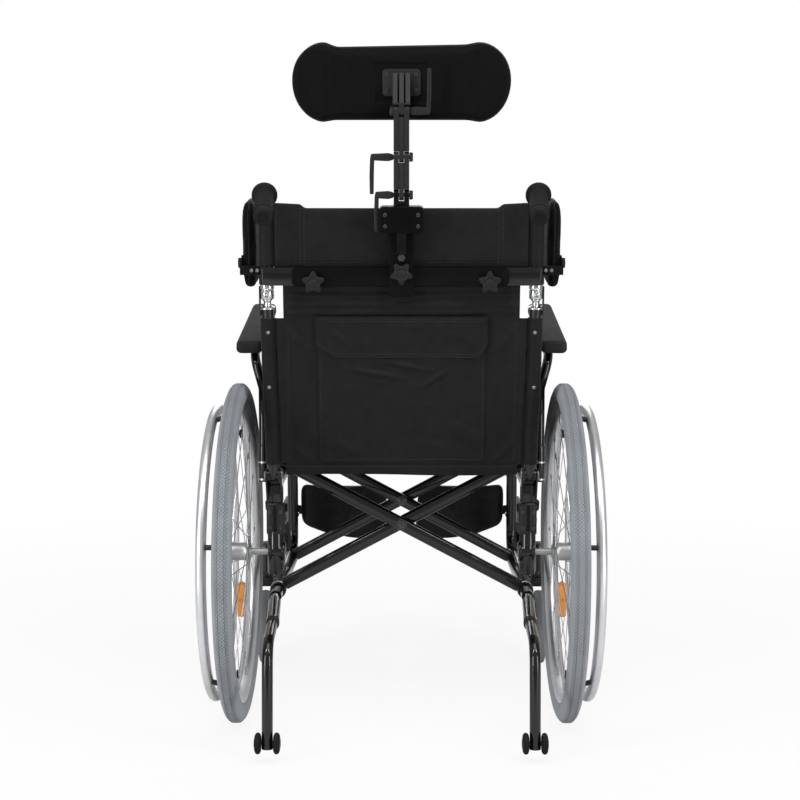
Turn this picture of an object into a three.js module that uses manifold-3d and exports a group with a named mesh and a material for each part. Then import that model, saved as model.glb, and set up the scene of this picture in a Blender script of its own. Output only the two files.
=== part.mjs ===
// A cross-folding attendant wheelchair: reclining, half-folding back, headrest, trunk supports,
// elevating leg rests and anti-tippers. Millimetres. The chair faces -Y, +Z is up and +X is the
// sitter's left. Heights count from the floor and depths from the rear axle.
import * as THREE from "three";
import { mergeVertices } from "three/addons/utils/BufferGeometryUtils.js";
import Module from "manifold-3d";

const wasm = await Module();
wasm.setup();

// Clearances
const touch = 0.3; // between two pieces that rest on each other
const running = 0.6; // round a shaft that turns in its bore
const overrun = 2; // how far a cut runs past the face that it opens
const weld = 1; // how far a welded piece reaches into the piece that carries it

// Rear wheels, tyres and handrims
const tyre = { radius: 305, depth: 34, width: 34 };
const axle = { z: tyre.radius, radius: 6, reach: 67 };
const wheel = { x: 293.5, sides: 28 };
const rim = { depth: 22, width: 24 };
const hub = { radius: 15, half: 20, flange: 25, flangeWidth: 3, flangeAt: 15, cap: 11, capWidth: 5 };
const spoke = { radius: 1.5, pairs: 7, lacing: 68 };
const handrim = { inset: 12.2, tube: 9, offset: 37.5, tabs: 6, tab: 4 };

// Side frames
const frame = { x: 228, tube: 11, railZ: 225, upperZ: 425, frontY: -430, bend: 45, top: 440, tail: 16 };
const axleSleeve = { radius: 18, inner: 17.5, outer: 13 };
const clamp = { z: 338, height: 53, half: 16, depth: 14 };
const gusset = { z: 396, height: 50, half: 14.5, plate: 3 };
const socket = { x: 250, radius: 10, bore: 7.1, z: 431, height: 68, frontHeight: 49, rearY: -15, frontY: -300 };
const saddle = { rearY: -130, frontY: -290, half: 14, width: 13, lip: 3 };
const casterHead = { x: 283, y: -430, radius: 16, z: 172, height: 68, plate: 8 };
const casterPlate = { z: 212, height: 80 };
const lug = { reach: 12, thick: 6, lowZ: 300, highZ: 385, y: -456 };
const lockPlate = { ahead: 31, z: 440, radius: 11, thick: 6, x: 255 };

// Folding cross under the seat
const cross = { pivotZ: 346, rearY: -64, frontY: -350, tall: 24, wide: 15, washer: 3, pin: 6, head: 10 };
const crossSleeve = { wall: 2.6, rearY: -38, frontY: -372 };
const seatRail = { radius: 11, rearY: -22, frontY: -405 };

// Seat and back cloth
const sling = { thick: 4, sag: 16, rearY: -26, frontY: -402, edge: 236, hem: 2 };
const backCloth = { thick: 3, low: 8, high: 356, half: 205, sleeveLow: 22, sleeveTop: 286, sleeveWall: 2 };
const pocket = { half: 148, low: 26, high: 286, raise: 4, flapDrop: 68, flapRaise: 3, step: 3 };
const fold = { top: 338, height: 3.5, apart: 15, count: 3 };

// Back canes, in the frame of the back: heights count from the recline pin along the cane
const recline = { y: 24, z: 448, lean: 8.1, pin: 4, lugRadius: 12 };
const cane = { lowX: 229, highX: 234, radius: 11, splay: 250, top: 301 };
const knuckle = { washer: 13, washerThick: 4, neck: 6.5, head: 12, neckTall: 18, tall: 35, pinY: 19.5 };
const ear = { half: 3, wing: 3, radius: 6, pin: 3, low: 8, rise: 15 };
const handle = { bendZ: 514, bend: 34, droop: 11.9 };
const grip = { start: 42, long: 126, radius: 15, hood: 21, hoodLength: 12, ribs: 2, rib: 1.2, end: 14, cap: 4 };

// Bar across the canes, knobs and trunk supports
const bar = { z: 361, tall: 32, thick: 4, left: 190, right: 186, slotFrom: 98, slotTo: 158, inner: 136 };
const barArm = { thick: 4, ring: 14 };
const knob = { x: 152, drop: 8.5, midRise: 8, radius: 20, dent: 3.2, lobes: 5, thick: 12, boss: 9, bossThick: 3, screw: 4 };
const trunk = { x: 254, thick: 23, rearY: -6, frontY: -116, low: 333, high: 487, pivotY: -30, pivotZ: 378 };
const trunkArm = { y: 3, thick: 3.5, low: 362, high: 378, wing: 3, front: -56, rise: 14, cap: 9, capThick: 6 };
const topPanel = { low: 379, high: 486, thick: 15, edge: 4, corner: 16, y: 0, dip: 5 };

// Headrest
const rest = { plateHalf: 21, plate: 4, low: 326, high: 485, blockTall: 45, blockHalf: 38, blockDeep: 30, nutZ: 395, nut: 7 };
const post = { half: 8, y: 42, low: 404, slack: 0.4 };
const link = { lowZ: 504, midZ: 567.5, topZ: 644, half: 13.2, tongue: 4.2, radius: 9, pin: 3.4 };
const headPlate = { gap: 12.8, tall: 45, half: 32, thick: 3, corner: 8, y: 14, ribDrop: 6, screw: 3.5 };
const lever = { wire: 3.4, low: 42.5, mid: 50, top: 46, drop: 62, lift: 70, nut: 7, nutThick: 5, paddle: 4 };
const headPad = { half: 185, low: 628, high: 756, thick: 52, wing: 34, wingFrom: 0.62, hump: 6 };

// Armrests
const arm = { tube: 8.5, post: 6.4, insert: 55, height: 179.4, rise: 51.7, topX: 266, bend: 32, shoulderDrop: 78 };
const armPad = { width: 47, x: 273.5, thick: 23, rearY: 6, frontY: -324, corner: 12 };
const guard = { thick: 3, low: 472, high: 604, corner: 18 };

// Wheel lock
const lock = { plate: 6, x: 262, reach: 48, angle: -60, shoe: 8, shoeEnd: 310, grip: 9, gripZ: 82, gripY: -16 };

// Leg rests
const hanger = { y: -456, pin: 6, low: 290, shoulder: 394, tube: 9, kneeZ: 438, kneeY: -490, bend: 16 };
const knee = { radius: 17, inner: 258, split: 270.6, outer: 291, pin: 5 };
const leg = { x: 281, pitch: 66, tube: 9.5, slide: 7.5, long: 316, collar: 12, slideFrom: 196, collarTall: 14 };
const calf = { x: 117, half: 90, tall: 108, z: 303, thick: 34, y: -448, bow: 14, clampTall: 18, arm: 5 };
const foot = { inset: 19, drop: 11.3, pin: 4, behind: 20.5, long: 140, tall: 158, thick: 6, boss: 8 };

// Anti-tippers
const tip = { stub: 8, seat: 44, fallY: 150, fallZ: 205, fallX: 222, tube: 9.3, collar: 11.5, collarLong: 14 };
const tipFoot = { turnY: 256, turnZ: 196, y: 272, z: 34, x: 222, bend: 40, tail: 9 };
const roller = { radius: 17.8, inner: 9.8, outer: 22.2, axle: 3.6 };

// Casters
const caster = { radius: 75, width: 22, trail: 45, axle: 4, hub: 14, sides: 14 };
const fork = { leg: 4, gap: 2.5, crown: 12, crownZ: 153, foot: 12, stem: 6, boss: 14, wide: 17 };

const turn = Math.PI / 180;

// Solids

function signedVolume(points, corners) {
  const [a, b, c] = [new THREE.Vector3(), new THREE.Vector3(), new THREE.Vector3()];
  let sum = 0;
  for (let i = 0; i < corners.length; i += 3) {
    a.fromArray(points, 3 * corners[i]);
    b.fromArray(points, 3 * corners[i + 1]);
    c.fromArray(points, 3 * corners[i + 2]);
    sum += a.dot(b.cross(c));
  }
  return sum;
}

// A closed solid from a geometry: doubled points are merged and the faces are turned outwards.
function solid(geometry) {
  const bare = geometry.clone();
  bare.deleteAttribute("normal");
  bare.deleteAttribute("uv");
  const merged = mergeVertices(bare, 1e-3);
  const points = merged.attributes.position.array;
  const all = merged.index.array;
  const corners = [];
  for (let i = 0; i < all.length; i += 3) {
    const [a, b, c] = [all[i], all[i + 1], all[i + 2]];
    if (a !== b && b !== c && c !== a) corners.push(a, b, c);
  }
  if (signedVolume(points, corners) < 0) corners.reverse();
  return new wasm.Manifold(
    new wasm.Mesh({ numProp: 3, vertProperties: points, triVerts: new Uint32Array(corners) }),
  );
}

function join(first, ...others) {
  return others.reduce((sum, piece) => sum.add(piece), first);
}

function cut(body, ...tools) {
  return tools.reduce((left, tool) => left.subtract(tool), body);
}

function geometryOf(body) {
  const mesh = body.getMesh();
  const geometry = new THREE.BufferGeometry();
  geometry.setAttribute("position", new THREE.BufferAttribute(mesh.vertProperties, 3));
  geometry.setIndex(new THREE.BufferAttribute(mesh.triVerts, 1));
  geometry.computeVertexNormals();
  return geometry;
}

// Outlines

function circle(radius, sides, x = 0, y = 0, start = 0) {
  return Array.from({ length: sides }, (_, i) => {
    const angle = start + (2 * Math.PI * i) / sides;
    return new THREE.Vector2(x + radius * Math.cos(angle), y + radius * Math.sin(angle));
  });
}

// The outline that a tight string would take round all the points.
function hull(...sets) {
  const points = sets.flat().sort((p, q) => p.x - q.x || p.y - q.y);
  const side = (list) => {
    const kept = [];
    for (const p of list) {
      while (kept.length > 1) {
        const [a, b] = kept.slice(-2);
        if ((b.x - a.x) * (p.y - a.y) - (b.y - a.y) * (p.x - a.x) > 1e-6) break;
        kept.pop();
      }
      kept.push(p);
    }
    return kept.slice(0, -1);
  };
  return [...side(points), ...side([...points].reverse())];
}

function rectangle(x0, x1, y0, y1, corner = 0, steps = 4) {
  if (!corner) return [[x0, y0], [x1, y0], [x1, y1], [x0, y1]].map((p) => new THREE.Vector2(...p));
  const centres = [
    [x1 - corner, y1 - corner, 0],
    [x0 + corner, y1 - corner, 1],
    [x0 + corner, y0 + corner, 2],
    [x1 - corner, y0 + corner, 3],
  ];
  return centres.flatMap(([x, y, quarter]) =>
    Array.from({ length: steps + 1 }, (_, i) => {
      const angle = ((quarter + i / steps) * Math.PI) / 2;
      return new THREE.Vector2(x + corner * Math.cos(angle), y + corner * Math.sin(angle));
    }),
  );
}

// Plates: an outline made thick along one axis.

function plate(outline, depth) {
  return new THREE.ExtrudeGeometry(new THREE.Shape(outline), { depth, bevelEnabled: false });
}

const ontoX = new THREE.Matrix4().makeBasis(
  new THREE.Vector3(0, 1, 0), new THREE.Vector3(0, 0, 1), new THREE.Vector3(1, 0, 0),
);
const ontoY = new THREE.Matrix4().makeBasis(
  new THREE.Vector3(1, 0, 0), new THREE.Vector3(0, 0, 1), new THREE.Vector3(0, -1, 0),
);

// The outline is given as y, z.
function plateX(outline, x0, x1) {
  return solid(plate(outline, x1 - x0).applyMatrix4(ontoX).translate(x0, 0, 0));
}

// The outline is given as x, z.
function plateY(outline, y0, y1) {
  return solid(plate(outline, y1 - y0).applyMatrix4(ontoY).translate(0, y1, 0));
}

function plateZ(outline, z0, z1) {
  return solid(plate(outline, z1 - z0).translate(0, 0, z0));
}

function block(x0, x1, y0, y1, z0, z1) {
  const box = new THREE.BoxGeometry(x1 - x0, y1 - y0, z1 - z0);
  return solid(box.translate((x0 + x1) / 2, (y0 + y1) / 2, (z0 + z1) / 2));
}

// A path of straight runs and round bends, with stations only where it turns.
class BentPath extends THREE.Curve {
  constructor(corners, bend, steps) {
    super();
    const at = corners.map((p) => new THREE.Vector3(...p));
    this.stations = [];
    const add = (point, tangent) => this.stations.push({ point, tangent });
    at.forEach((corner, i) => {
      const into = i > 0 ? corner.clone().sub(at[i - 1]).normalize() : null;
      const out = i < at.length - 1 ? at[i + 1].clone().sub(corner).normalize() : null;
      if (!into || !out) {
        add(corner, (into || out).clone());
        return;
      }
      const angle = into.angleTo(out);
      const setback = bend * Math.tan(angle / 2);
      const start = corner.clone().addScaledVector(into, -setback);
      const inward = out.clone().addScaledVector(into, -Math.cos(angle)).normalize();
      for (let k = 0; k <= steps; k++) {
        const a = (angle * k) / steps;
        add(
          start.clone().addScaledVector(into, bend * Math.sin(a)).addScaledVector(inward, bend * (1 - Math.cos(a))),
          into.clone().multiplyScalar(Math.cos(a)).addScaledVector(inward, Math.sin(a)),
        );
      }
    });
  }
  station(u) {
    return this.stations[Math.round(u * (this.stations.length - 1))];
  }
  getPointAt(u, target = new THREE.Vector3()) {
    return target.copy(this.station(u).point);
  }
  getTangentAt(u, target = new THREE.Vector3()) {
    return target.copy(this.station(u).tangent);
  }
}

function sweep(outline, corners, bend = 0, steps = 4) {
  const path = new BentPath(corners, bend, steps);
  const settings = { steps: path.stations.length - 1, extrudePath: path, bevelEnabled: false };
  return solid(new THREE.ExtrudeGeometry(new THREE.Shape(outline), settings));
}

function pipe(corners, radius, { bend = 0, steps = 3, sides = 8 } = {}) {
  return sweep(circle(radius, sides, 0, 0, Math.PI / sides), corners, bend, steps);
}

// A turned piece: its profile is radius, height along the axis from the point.
function turned(profile, sides, axis, at, flats = false) {
  const stretch = flats ? 1 / Math.cos(Math.PI / sides) : 1;
  const points = profile.map(([r, h]) => new THREE.Vector2(r * stretch, h));
  const lathe = new THREE.LatheGeometry(points, sides, flats ? Math.PI / sides : 0);
  const aim = new THREE.Quaternion().setFromUnitVectors(
    new THREE.Vector3(0, 1, 0), new THREE.Vector3(...axis).normalize(),
  );
  return solid(lathe.applyQuaternion(aim).translate(...at));
}

const alongX = [1, 0, 0];
const alongZ = [0, 0, 1];

// A stuffed pad over a flat outline: each face swells between seams, and place bends it into shape.
function stuffed(outline, half, edge, place, ringShares = [0.5, 0.84, 1]) {
  const n = outline.length;
  const middle = outline.reduce((sum, p) => sum.add(p), new THREE.Vector2()).divideScalar(n);
  const height = (s) => edge + (half - edge) * Math.sqrt(Math.max(0, 1 - s ** 3));
  const points = [];
  const faces = [];
  const put = (u, v, w) => points.push(...place(u, v, w)) / 3 - 1;
  const side = (sign) => {
    const centre = put(middle.x, middle.y, sign * height(0));
    const rings = ringShares.map((s) =>
      outline.map((p) => put(middle.x + (p.x - middle.x) * s, middle.y + (p.y - middle.y) * s, sign * height(s))),
    );
    const face = (a, b, c) => faces.push(...(sign > 0 ? [a, b, c] : [c, b, a]));
    for (let i = 0; i < n; i++) {
      const j = (i + 1) % n;
      face(centre, rings[0][i], rings[0][j]);
      for (let k = 1; k < rings.length; k++) {
        face(rings[k - 1][i], rings[k][i], rings[k][j]);
        face(rings[k - 1][i], rings[k][j], rings[k - 1][j]);
      }
    }
    return rings[rings.length - 1];
  };
  const front = side(1);
  const back = side(-1);
  for (let i = 0; i < n; i++) {
    const j = (i + 1) % n;
    faces.push(front[i], back[i], back[j], front[i], back[j], front[j]);
  }
  return solid(meshed(points, faces));
}

// A thin sheet between two surfaces over one grid of stations.
function sheet(us, vs, front, back) {
  const points = [];
  const faces = [];
  const rows = [front, back].map((surface) =>
    us.map((u) => vs.map((v) => points.push(...surface(u, v)) / 3 - 1)),
  );
  const [f, b] = rows;
  for (let i = 0; i < us.length - 1; i++) {
    for (let j = 0; j < vs.length - 1; j++) {
      faces.push(f[i][j], f[i + 1][j], f[i + 1][j + 1], f[i][j], f[i + 1][j + 1], f[i][j + 1]);
      faces.push(b[i][j], b[i + 1][j + 1], b[i + 1][j], b[i][j], b[i][j + 1], b[i + 1][j + 1]);
    }
  }
  const wall = (list) => {
    for (let k = 0; k < list.length; k++) {
      const [i, j] = list[k];
      const [m, n] = list[(k + 1) % list.length];
      faces.push(f[i][j], b[i][j], b[m][n], f[i][j], b[m][n], f[m][n]);
    }
  };
  const [lastU, lastV] = [us.length - 1, vs.length - 1];
  const rim = [];
  for (let i = 0; i < lastU; i++) rim.push([i, 0]);
  for (let j = 0; j < lastV; j++) rim.push([lastU, j]);
  for (let i = lastU; i > 0; i--) rim.push([i, lastV]);
  for (let j = lastV; j > 0; j--) rim.push([0, j]);
  wall(rim);
  return solid(meshed(points, faces));
}

function meshed(points, faces) {
  const geometry = new THREE.BufferGeometry();
  geometry.setAttribute("position", new THREE.Float32BufferAttribute(points, 3));
  geometry.setIndex(faces);
  return geometry;
}

// How far a round piece with this many sides reaches, measured to its flats.
function across(radius, sides = 8) {
  return radius * Math.cos(Math.PI / sides);
}

// The radius that keeps the flats of a round bore this far out.
function around(radius, sides = 8) {
  return radius / Math.cos(Math.PI / sides);
}

function steps(from, to, count) {
  return Array.from({ length: count + 1 }, (_, i) => from + ((to - from) * i) / count);
}

// Materials, with the colours that show in the photograph
const finish = (color, roughness, metalness) => new THREE.MeshStandardMaterial({ color, roughness, metalness });
const blackPaint = finish(0x0d0d0e, 0.25, 0.3);
const chrome = finish(0xd8dadc, 0.12, 1);
const alloy = finish(0xa9abad, 0.4, 0.9);
const greyRubber = finish(0x7d8289, 0.8, 0);
const blackRubber = finish(0x2c2c2e, 0.8, 0);
const blackPlastic = finish(0x1b1b1c, 0.5, 0);
const nylon = finish(0x141416, 0.75, 0);
const softPlastic = finish(0x2e2e30, 0.65, 0);

// Side frame: one bent loop of tube, with the column that carries the axle and the back.
function sideFrame() {
  const { x, tube, railZ, upperZ, frontY, bend, top, tail } = frame;
  const loop = pipe([[x, tail, railZ], [x, frontY, railZ], [x, frontY, upperZ], [x, 0, upperZ]], tube, { bend });
  const column = pipe([[x, 0, railZ], [x, 0, top]], tube);
  const sleeve = pipe([[x - axleSleeve.inner, 0, axle.z], [x + axleSleeve.outer, 0, axle.z]], axleSleeve.radius);
  const collar = block(x - clamp.half, x + clamp.half, -clamp.depth, clamp.depth, clamp.z, clamp.z + clamp.height);
  const body = join(loop, column, sleeve, collar, ...backGusset(), ...armSockets(), ...saddles(), ...casterHousing(),
    ...legLugs(), lockBracket());
  return cut(
    body,
    pipe([[x, tail + overrun, railZ], [x, tail - tip.seat - touch, railZ]], tip.stub + running),
    pipe([[wheel.x - axle.reach - running, 0, axle.z], [x + tube + axleSleeve.outer, 0, axle.z]], axle.radius + running),
    ...armSocketBores(),
    ...saddleCuts(),
    pipe([[casterHead.x, casterHead.y, casterHead.z - overrun], [casterHead.x, casterHead.y,
      casterHead.z + casterHead.height - fork.leg]], fork.stem + running),
    pipe([[x, lug.y, lug.lowZ - lug.thick], [x, lug.y, lug.highZ + lug.thick]], hanger.pin + running),
    pipe([[x - gusset.half - overrun, recline.y, recline.z], [x + 2 * gusset.half, recline.y, recline.z]],
      recline.pin + running),
  );
}

// Two ears behind the column's top take the recline pin.
function backGusset() {
  const middle = cane.lowX;
  const { half, plate: thick, z, height } = gusset;
  const foot = rectangle(-frame.tube, frame.tube, z, z + height);
  const outline = hull(circle(recline.lugRadius, 8, recline.y, recline.z), rectangle(-frame.tube, frame.tube, z, z + height));
  return [
    plateX(foot, middle - half + weld, middle + half - weld),
    plateX(outline, middle - half, middle - half + thick),
    plateX(outline, middle + half - thick, middle + half),
  ];
}

function armSockets() {
  const { x, radius, z, height, frontHeight, rearY, frontY } = socket;
  const foot = (y) => block(frame.x + frame.tube / 2, x - weld, y - radius / 2, y + radius / 2, frame.upperZ - weld,
    z + radius);
  const web = block(frame.x, x - weld, rearY - radius / 2, 0, z, gusset.z + gusset.height);
  return [
    pipe([[x, rearY, z], [x, rearY, z + height]], radius),
    pipe([[x, frontY, z], [x, frontY, z + frontHeight]], radius),
    foot(frontY),
    web,
  ];
}

function armSocketBores() {
  const { x, z, height, bore, rearY, frontY } = socket;
  return [rearY, frontY].map((y) => pipe([[x, y, z - overrun], [x, y, z + height + overrun]], bore));
}

function saddles() {
  const { rearY, frontY, half, width } = saddle;
  const top = cross.pivotZ * 2 - frame.railZ - saddle.lip;
  return [rearY, frontY].map((y) => block(frame.x - width, frame.x + width, y - half, y + half, frame.upperZ, top));
}

function saddleCuts() {
  const z = cross.pivotZ * 2 - frame.railZ;
  return [saddle.rearY, saddle.frontY].map((y) =>
    pipe([[frame.x, y - saddle.half - overrun, z], [frame.x, y + saddle.half + overrun, z]], seatRail.radius + running),
  );
}

function casterHousing() {
  const { x, y, radius, z, height, plate: thick } = casterHead;
  return [
    pipe([[x, y, z], [x, y, z + height]], radius),
    block(frame.x, x, y - thick / 2, y + thick / 2, casterPlate.z, casterPlate.z + casterPlate.height),
  ];
}

function legLugs() {
  const { reach, thick, lowZ, highZ, y } = lug;
  const outline = hull(circle(reach, 8, frame.x, y), rectangle(frame.x - reach, frame.x + reach, y, frame.frontY));
  return [lowZ, highZ].map((z) => plateZ(outline, z - thick / 2, z + thick / 2));
}

const lockY = -tyre.radius - lockPlate.ahead;

function lockBracket() {
  const { z, radius, thick, x } = lockPlate;
  const y = lockY;
  const foot = rectangle(y - radius, y + radius, frame.upperZ - radius, frame.upperZ + radius);
  return join(
    plateX(hull(circle(radius, 8, y, z), foot), x - weld, x - weld + thick),
    block(frame.x, x, y - radius, y + radius, frame.upperZ - radius / 2, frame.upperZ + radius / 2),
    pipe([[x, y, z], [x + lock.plate * 2 + thick, y, z]], recline.pin),
  );
}

// Rear wheel

function wheelRim() {
  const outer = tyre.radius - tyre.depth - touch;
  const [inner, half] = [outer - rim.depth, rim.width / 2];
  const at = [wheel.x, 0, axle.z];
  const bed = turned(
    [[inner, 0], [outer - rim.depth / 3, -half], [outer, -half], [outer, half], [outer - rim.depth / 3, half],
      [inner, 0]],
    wheel.sides, alongX, at, true,
  );
  const { radius, half: long, flange, flangeWidth, flangeAt, cap, capWidth } = hub;
  const barrel = turned(
    [[0, -axle.reach], [axle.radius, -axle.reach], [axle.radius, -long], [flange, -flangeAt - flangeWidth],
      [flange, -flangeAt], [radius, -flangeAt], [radius, flangeAt], [flange, flangeAt],
      [flange, flangeAt + flangeWidth], [cap, long], [cap, long + capWidth], [0, long + capWidth]],
    8, alongX, at,
  );
  const count = 2 * spoke.pairs;
  const spokes = Array.from({ length: count }, (_, i) => {
    const side = i % 2 ? 1 : -1;
    const lean = Math.floor(i / 2) % 2 ? 1 : -1;
    const far = (2 * Math.PI * i) / count;
    const near = far + lean * spoke.lacing * turn;
    const [r0, r1] = [flange - flangeWidth, inner + rim.depth / 4];
    return pipe(
      [
        [wheel.x + side * (flangeAt + flangeWidth / 2), r0 * Math.cos(near), axle.z + r0 * Math.sin(near)],
        [wheel.x + (side * half) / 4, r1 * Math.cos(far), axle.z + r1 * Math.sin(far)],
      ],
      spoke.radius, { sides: 3 },
    );
  });
  return join(bed, barrel, ...spokes);
}

function tyreRing() {
  const half = tyre.width / 2;
  const sectionShares = [[1, -0.55], [0.6, -1], [0, -0.32], [0, 0.32], [0.6, 1], [1, 0.55]];
  const profile = sectionShares.map(([down, across]) => [tyre.radius - down * tyre.depth, across * half]);
  return turned([...profile, profile[0]], wheel.sides, alongX, [wheel.x, 0, axle.z], true);
}

function handRing() {
  const at = [wheel.x + handrim.offset, 0, axle.z];
  const ringRadius = tyre.radius - tyre.depth - touch - handrim.inset;
  const section = circle(handrim.tube, 6, ringRadius, 0, Math.PI / 6).map((p) => [p.x, p.y]);
  const ring = turned([...section, section[0]], wheel.sides, alongX, at, true);
  const from = wheel.x + rim.width / 2 + touch;
  const seat = tyre.radius - tyre.depth - touch - rim.depth / 6 - handrim.tab;
  const tabs = Array.from({ length: handrim.tabs }, (_, i) => {
    const angle = (2 * Math.PI * (i + 0.5)) / handrim.tabs;
    const spot = (x) => [x, seat * Math.cos(angle), axle.z + seat * Math.sin(angle)];
    return pipe([spot(from), spot(wheel.x + handrim.offset)], handrim.tab, { sides: 5 });
  });
  return join(ring, ...tabs);
}

// Caster

function casterFork() {
  const { x, y, z } = casterHead;
  const inner = caster.width / 2 + fork.gap;
  const axleY = y + caster.trail;
  const top = fork.crownZ + fork.crown;
  const outline = hull(
    circle(fork.foot, 8, axleY, caster.radius),
    rectangle(y - fork.wide, y + fork.wide, fork.crownZ, top),
  );
  return join(
    plateX(outline, x - inner - fork.leg, x - inner),
    plateX(outline, x + inner, x + inner + fork.leg),
    plateZ(rectangle(x - inner - fork.leg, x + inner + fork.leg, y - fork.wide, y + fork.wide), fork.crownZ, top),
    pipe([[x - inner - weld, axleY, caster.radius], [x + inner + weld, axleY, caster.radius]], caster.axle),
    turned(
      [[0, 0], [fork.boss, 0], [fork.boss, z - touch - top + weld], [fork.stem, z - touch - top + weld],
        [fork.stem, z + casterHead.height / 2 - top], [0, z + casterHead.height / 2 - top]],
      12, alongZ, [x, y, top - weld],
    ),
  );
}

function casterWheel() {
  const half = caster.width / 2;
  const { radius, hub: core } = caster;
  const profile = [
    [caster.axle + running, -half], [core, -half], [radius * 0.76, -half / 2], [radius * 0.9, -half],
    [radius, -half / 2], [radius, half / 2], [radius * 0.9, half], [radius * 0.76, half / 2], [core, half],
    [caster.axle + running, half], [caster.axle + running, -half],
  ];
  return turned(profile, caster.sides, alongX, [casterHead.x, casterHead.y + caster.trail, radius], true);
}

// Anti-tipper

function antiTipper() {
  const { stub, seat, fallY, fallZ, fallX, tube, collar, collarLong } = tip;
  const { turnY, turnZ, y, z, x, bend, tail } = tipFoot;
  const start = [frame.x, frame.tail - seat, frame.railZ];
  const out = [frame.x, frame.tail + stub, frame.railZ];
  const meet = [fallX, fallY, fallZ];
  const run = new THREE.Vector3(...meet).sub(new THREE.Vector3(...out)).normalize();
  const past = (d) => [meet[0] + run.x * d, meet[1] + run.y * d, meet[2] + run.z * d];
  return cut(
    join(
      pipe([start, out, meet], stub, { bend: stub * 2, steps: 2 }),
      pipe([past(-collarLong), past(weld)], collar),
      pipe([meet, [x, turnY, turnZ], [x, y, z - tail]], tube, { bend }),
    ),
    pipe([[x - tube * 2, y, z], [x + tube * 2, y, z]], roller.axle + running),
  );
}

function antiTipRollers() {
  const { radius, inner, outer, axle: pin } = roller;
  const profile = [
    [0, -outer], [radius * 0.75, -outer], [radius, -outer + weld * 2], [radius, -inner], [pin, -inner],
    [pin, inner], [radius, inner], [radius, outer - weld * 2], [radius * 0.75, outer], [0, outer],
  ];
  return turned(profile, 10, alongX, [tipFoot.x, tipFoot.y, tipFoot.z]);
}

// Folding cross: two arms front and rear, a sleeve on one lower rail and the seat rail over the other frame.
function crossArm(sign, offset) {
  const [low, high] = [sign * frame.x, -sign * frame.x];
  const seatZ = cross.pivotZ * 2 - frame.railZ;
  const oval = hull(
    circle(cross.wide / 2, 8, 0, cross.tall / 2 - cross.wide / 2),
    circle(cross.wide / 2, 8, 0, cross.wide / 2 - cross.tall / 2),
  );
  const depths = [cross.rearY, cross.frontY].map((y) => y + offset);
  const arms = depths.map((y) => sweep(oval, [[low, y, frame.railZ], [high, y, seatZ]]));
  const bore = around(frame.tube) + running;
  const { wall, rearY, frontY } = crossSleeve;
  const body = join(
    ...arms,
    pipe([[low, frontY, frame.railZ], [low, rearY, frame.railZ]], bore + wall),
    pipe([[high, seatRail.frontY, seatZ], [high, seatRail.rearY, seatZ]], seatRail.radius),
  );
  return cut(body, pipe([[low, frontY - overrun, frame.railZ], [low, rearY + overrun, frame.railZ]], bore));
}

const crossOffset = (cross.wide + cross.washer) / 2;

function crossArmWithHoles() {
  const holes = [cross.rearY, cross.frontY].map((y) =>
    pipe([[0, y - cross.tall, cross.pivotZ], [0, y + cross.tall, cross.pivotZ]], cross.pin + running),
  );
  return cut(crossArm(1, -crossOffset), ...holes);
}

function crossArmWithPins() {
  const reach = crossOffset + cross.wide / 2;
  const pins = [cross.rearY, cross.frontY].flatMap((y) => [
    pipe([[0, y - reach - touch * 2 - weld, cross.pivotZ], [0, y + reach, cross.pivotZ]], cross.pin),
    pipe([[0, y + reach - weld, cross.pivotZ], [0, y + reach + cross.washer, cross.pivotZ]], cross.head, { sides: 6 }),
    pipe([[0, y - reach - touch * 2 - cross.washer, cross.pivotZ], [0, y - reach - touch * 2, cross.pivotZ]], cross.head,
      { sides: 6 }),
  ]);
  return join(crossArm(-1, crossOffset), ...pins);
}

// Seat sling: it lies on both seat rails and hangs a little between them.
function seatSling() {
  const { thick, sag, rearY, frontY, edge, hem } = sling;
  const armLean = Math.atan2(cross.pivotZ - frame.railZ, frame.x);
  const seatTop = Math.max(across(seatRail.radius), (cross.tall / 2) * Math.cos(armLean));
  const railTop = cross.pivotZ * 2 - frame.railZ + seatTop + touch;
  const flat = frame.x - seatRail.radius;
  const xs = [-edge, ...steps(-flat, flat, 6), edge];
  const ys = steps(frontY, rearY, 4);
  const drop = (x, y) => {
    const across = Math.max(0, 1 - (Math.abs(x) / flat) ** 2);
    const along = 0.8 + 0.2 * Math.sin((Math.PI * (y - frontY)) / (rearY - frontY));
    return sag * across * along;
  };
  const roll = (y) => (y < frontY + hem * 4 || y > rearY - hem * 4 ? hem / 2 : 0);
  return sheet(xs, ys, (x, y) => [x, y, railTop - drop(x, y)], (x, y) => [x, y, railTop + thick - drop(x, y) + roll(y)]);
}

// Back frame: everything below is written with the recline pin at the origin and the cane upright.

const caneAt = (z) => {
  const share = Math.min(1, Math.max(0, z / cane.splay));
  return cane.lowX + (cane.highX - cane.lowX) * share;
};

function caneLower() {
  const { radius, splay, top, lowX, highX } = cane;
  const pinHalf = gusset.half + weld;
  return join(
    pipe([[lowX, 0, 0], [highX, 0, splay], [highX, 0, top]], radius, { bend: radius, steps: 1 }),
    pipe([[lowX - radius + weld / 2, 0, 0], [lowX + radius - weld / 2, 0, 0]], radius),
    pipe([[lowX - pinHalf, 0, 0], [lowX + pinHalf, 0, 0]], recline.pin),
  );
}

const knuckleTop = cane.top + touch + knuckle.tall;

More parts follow.
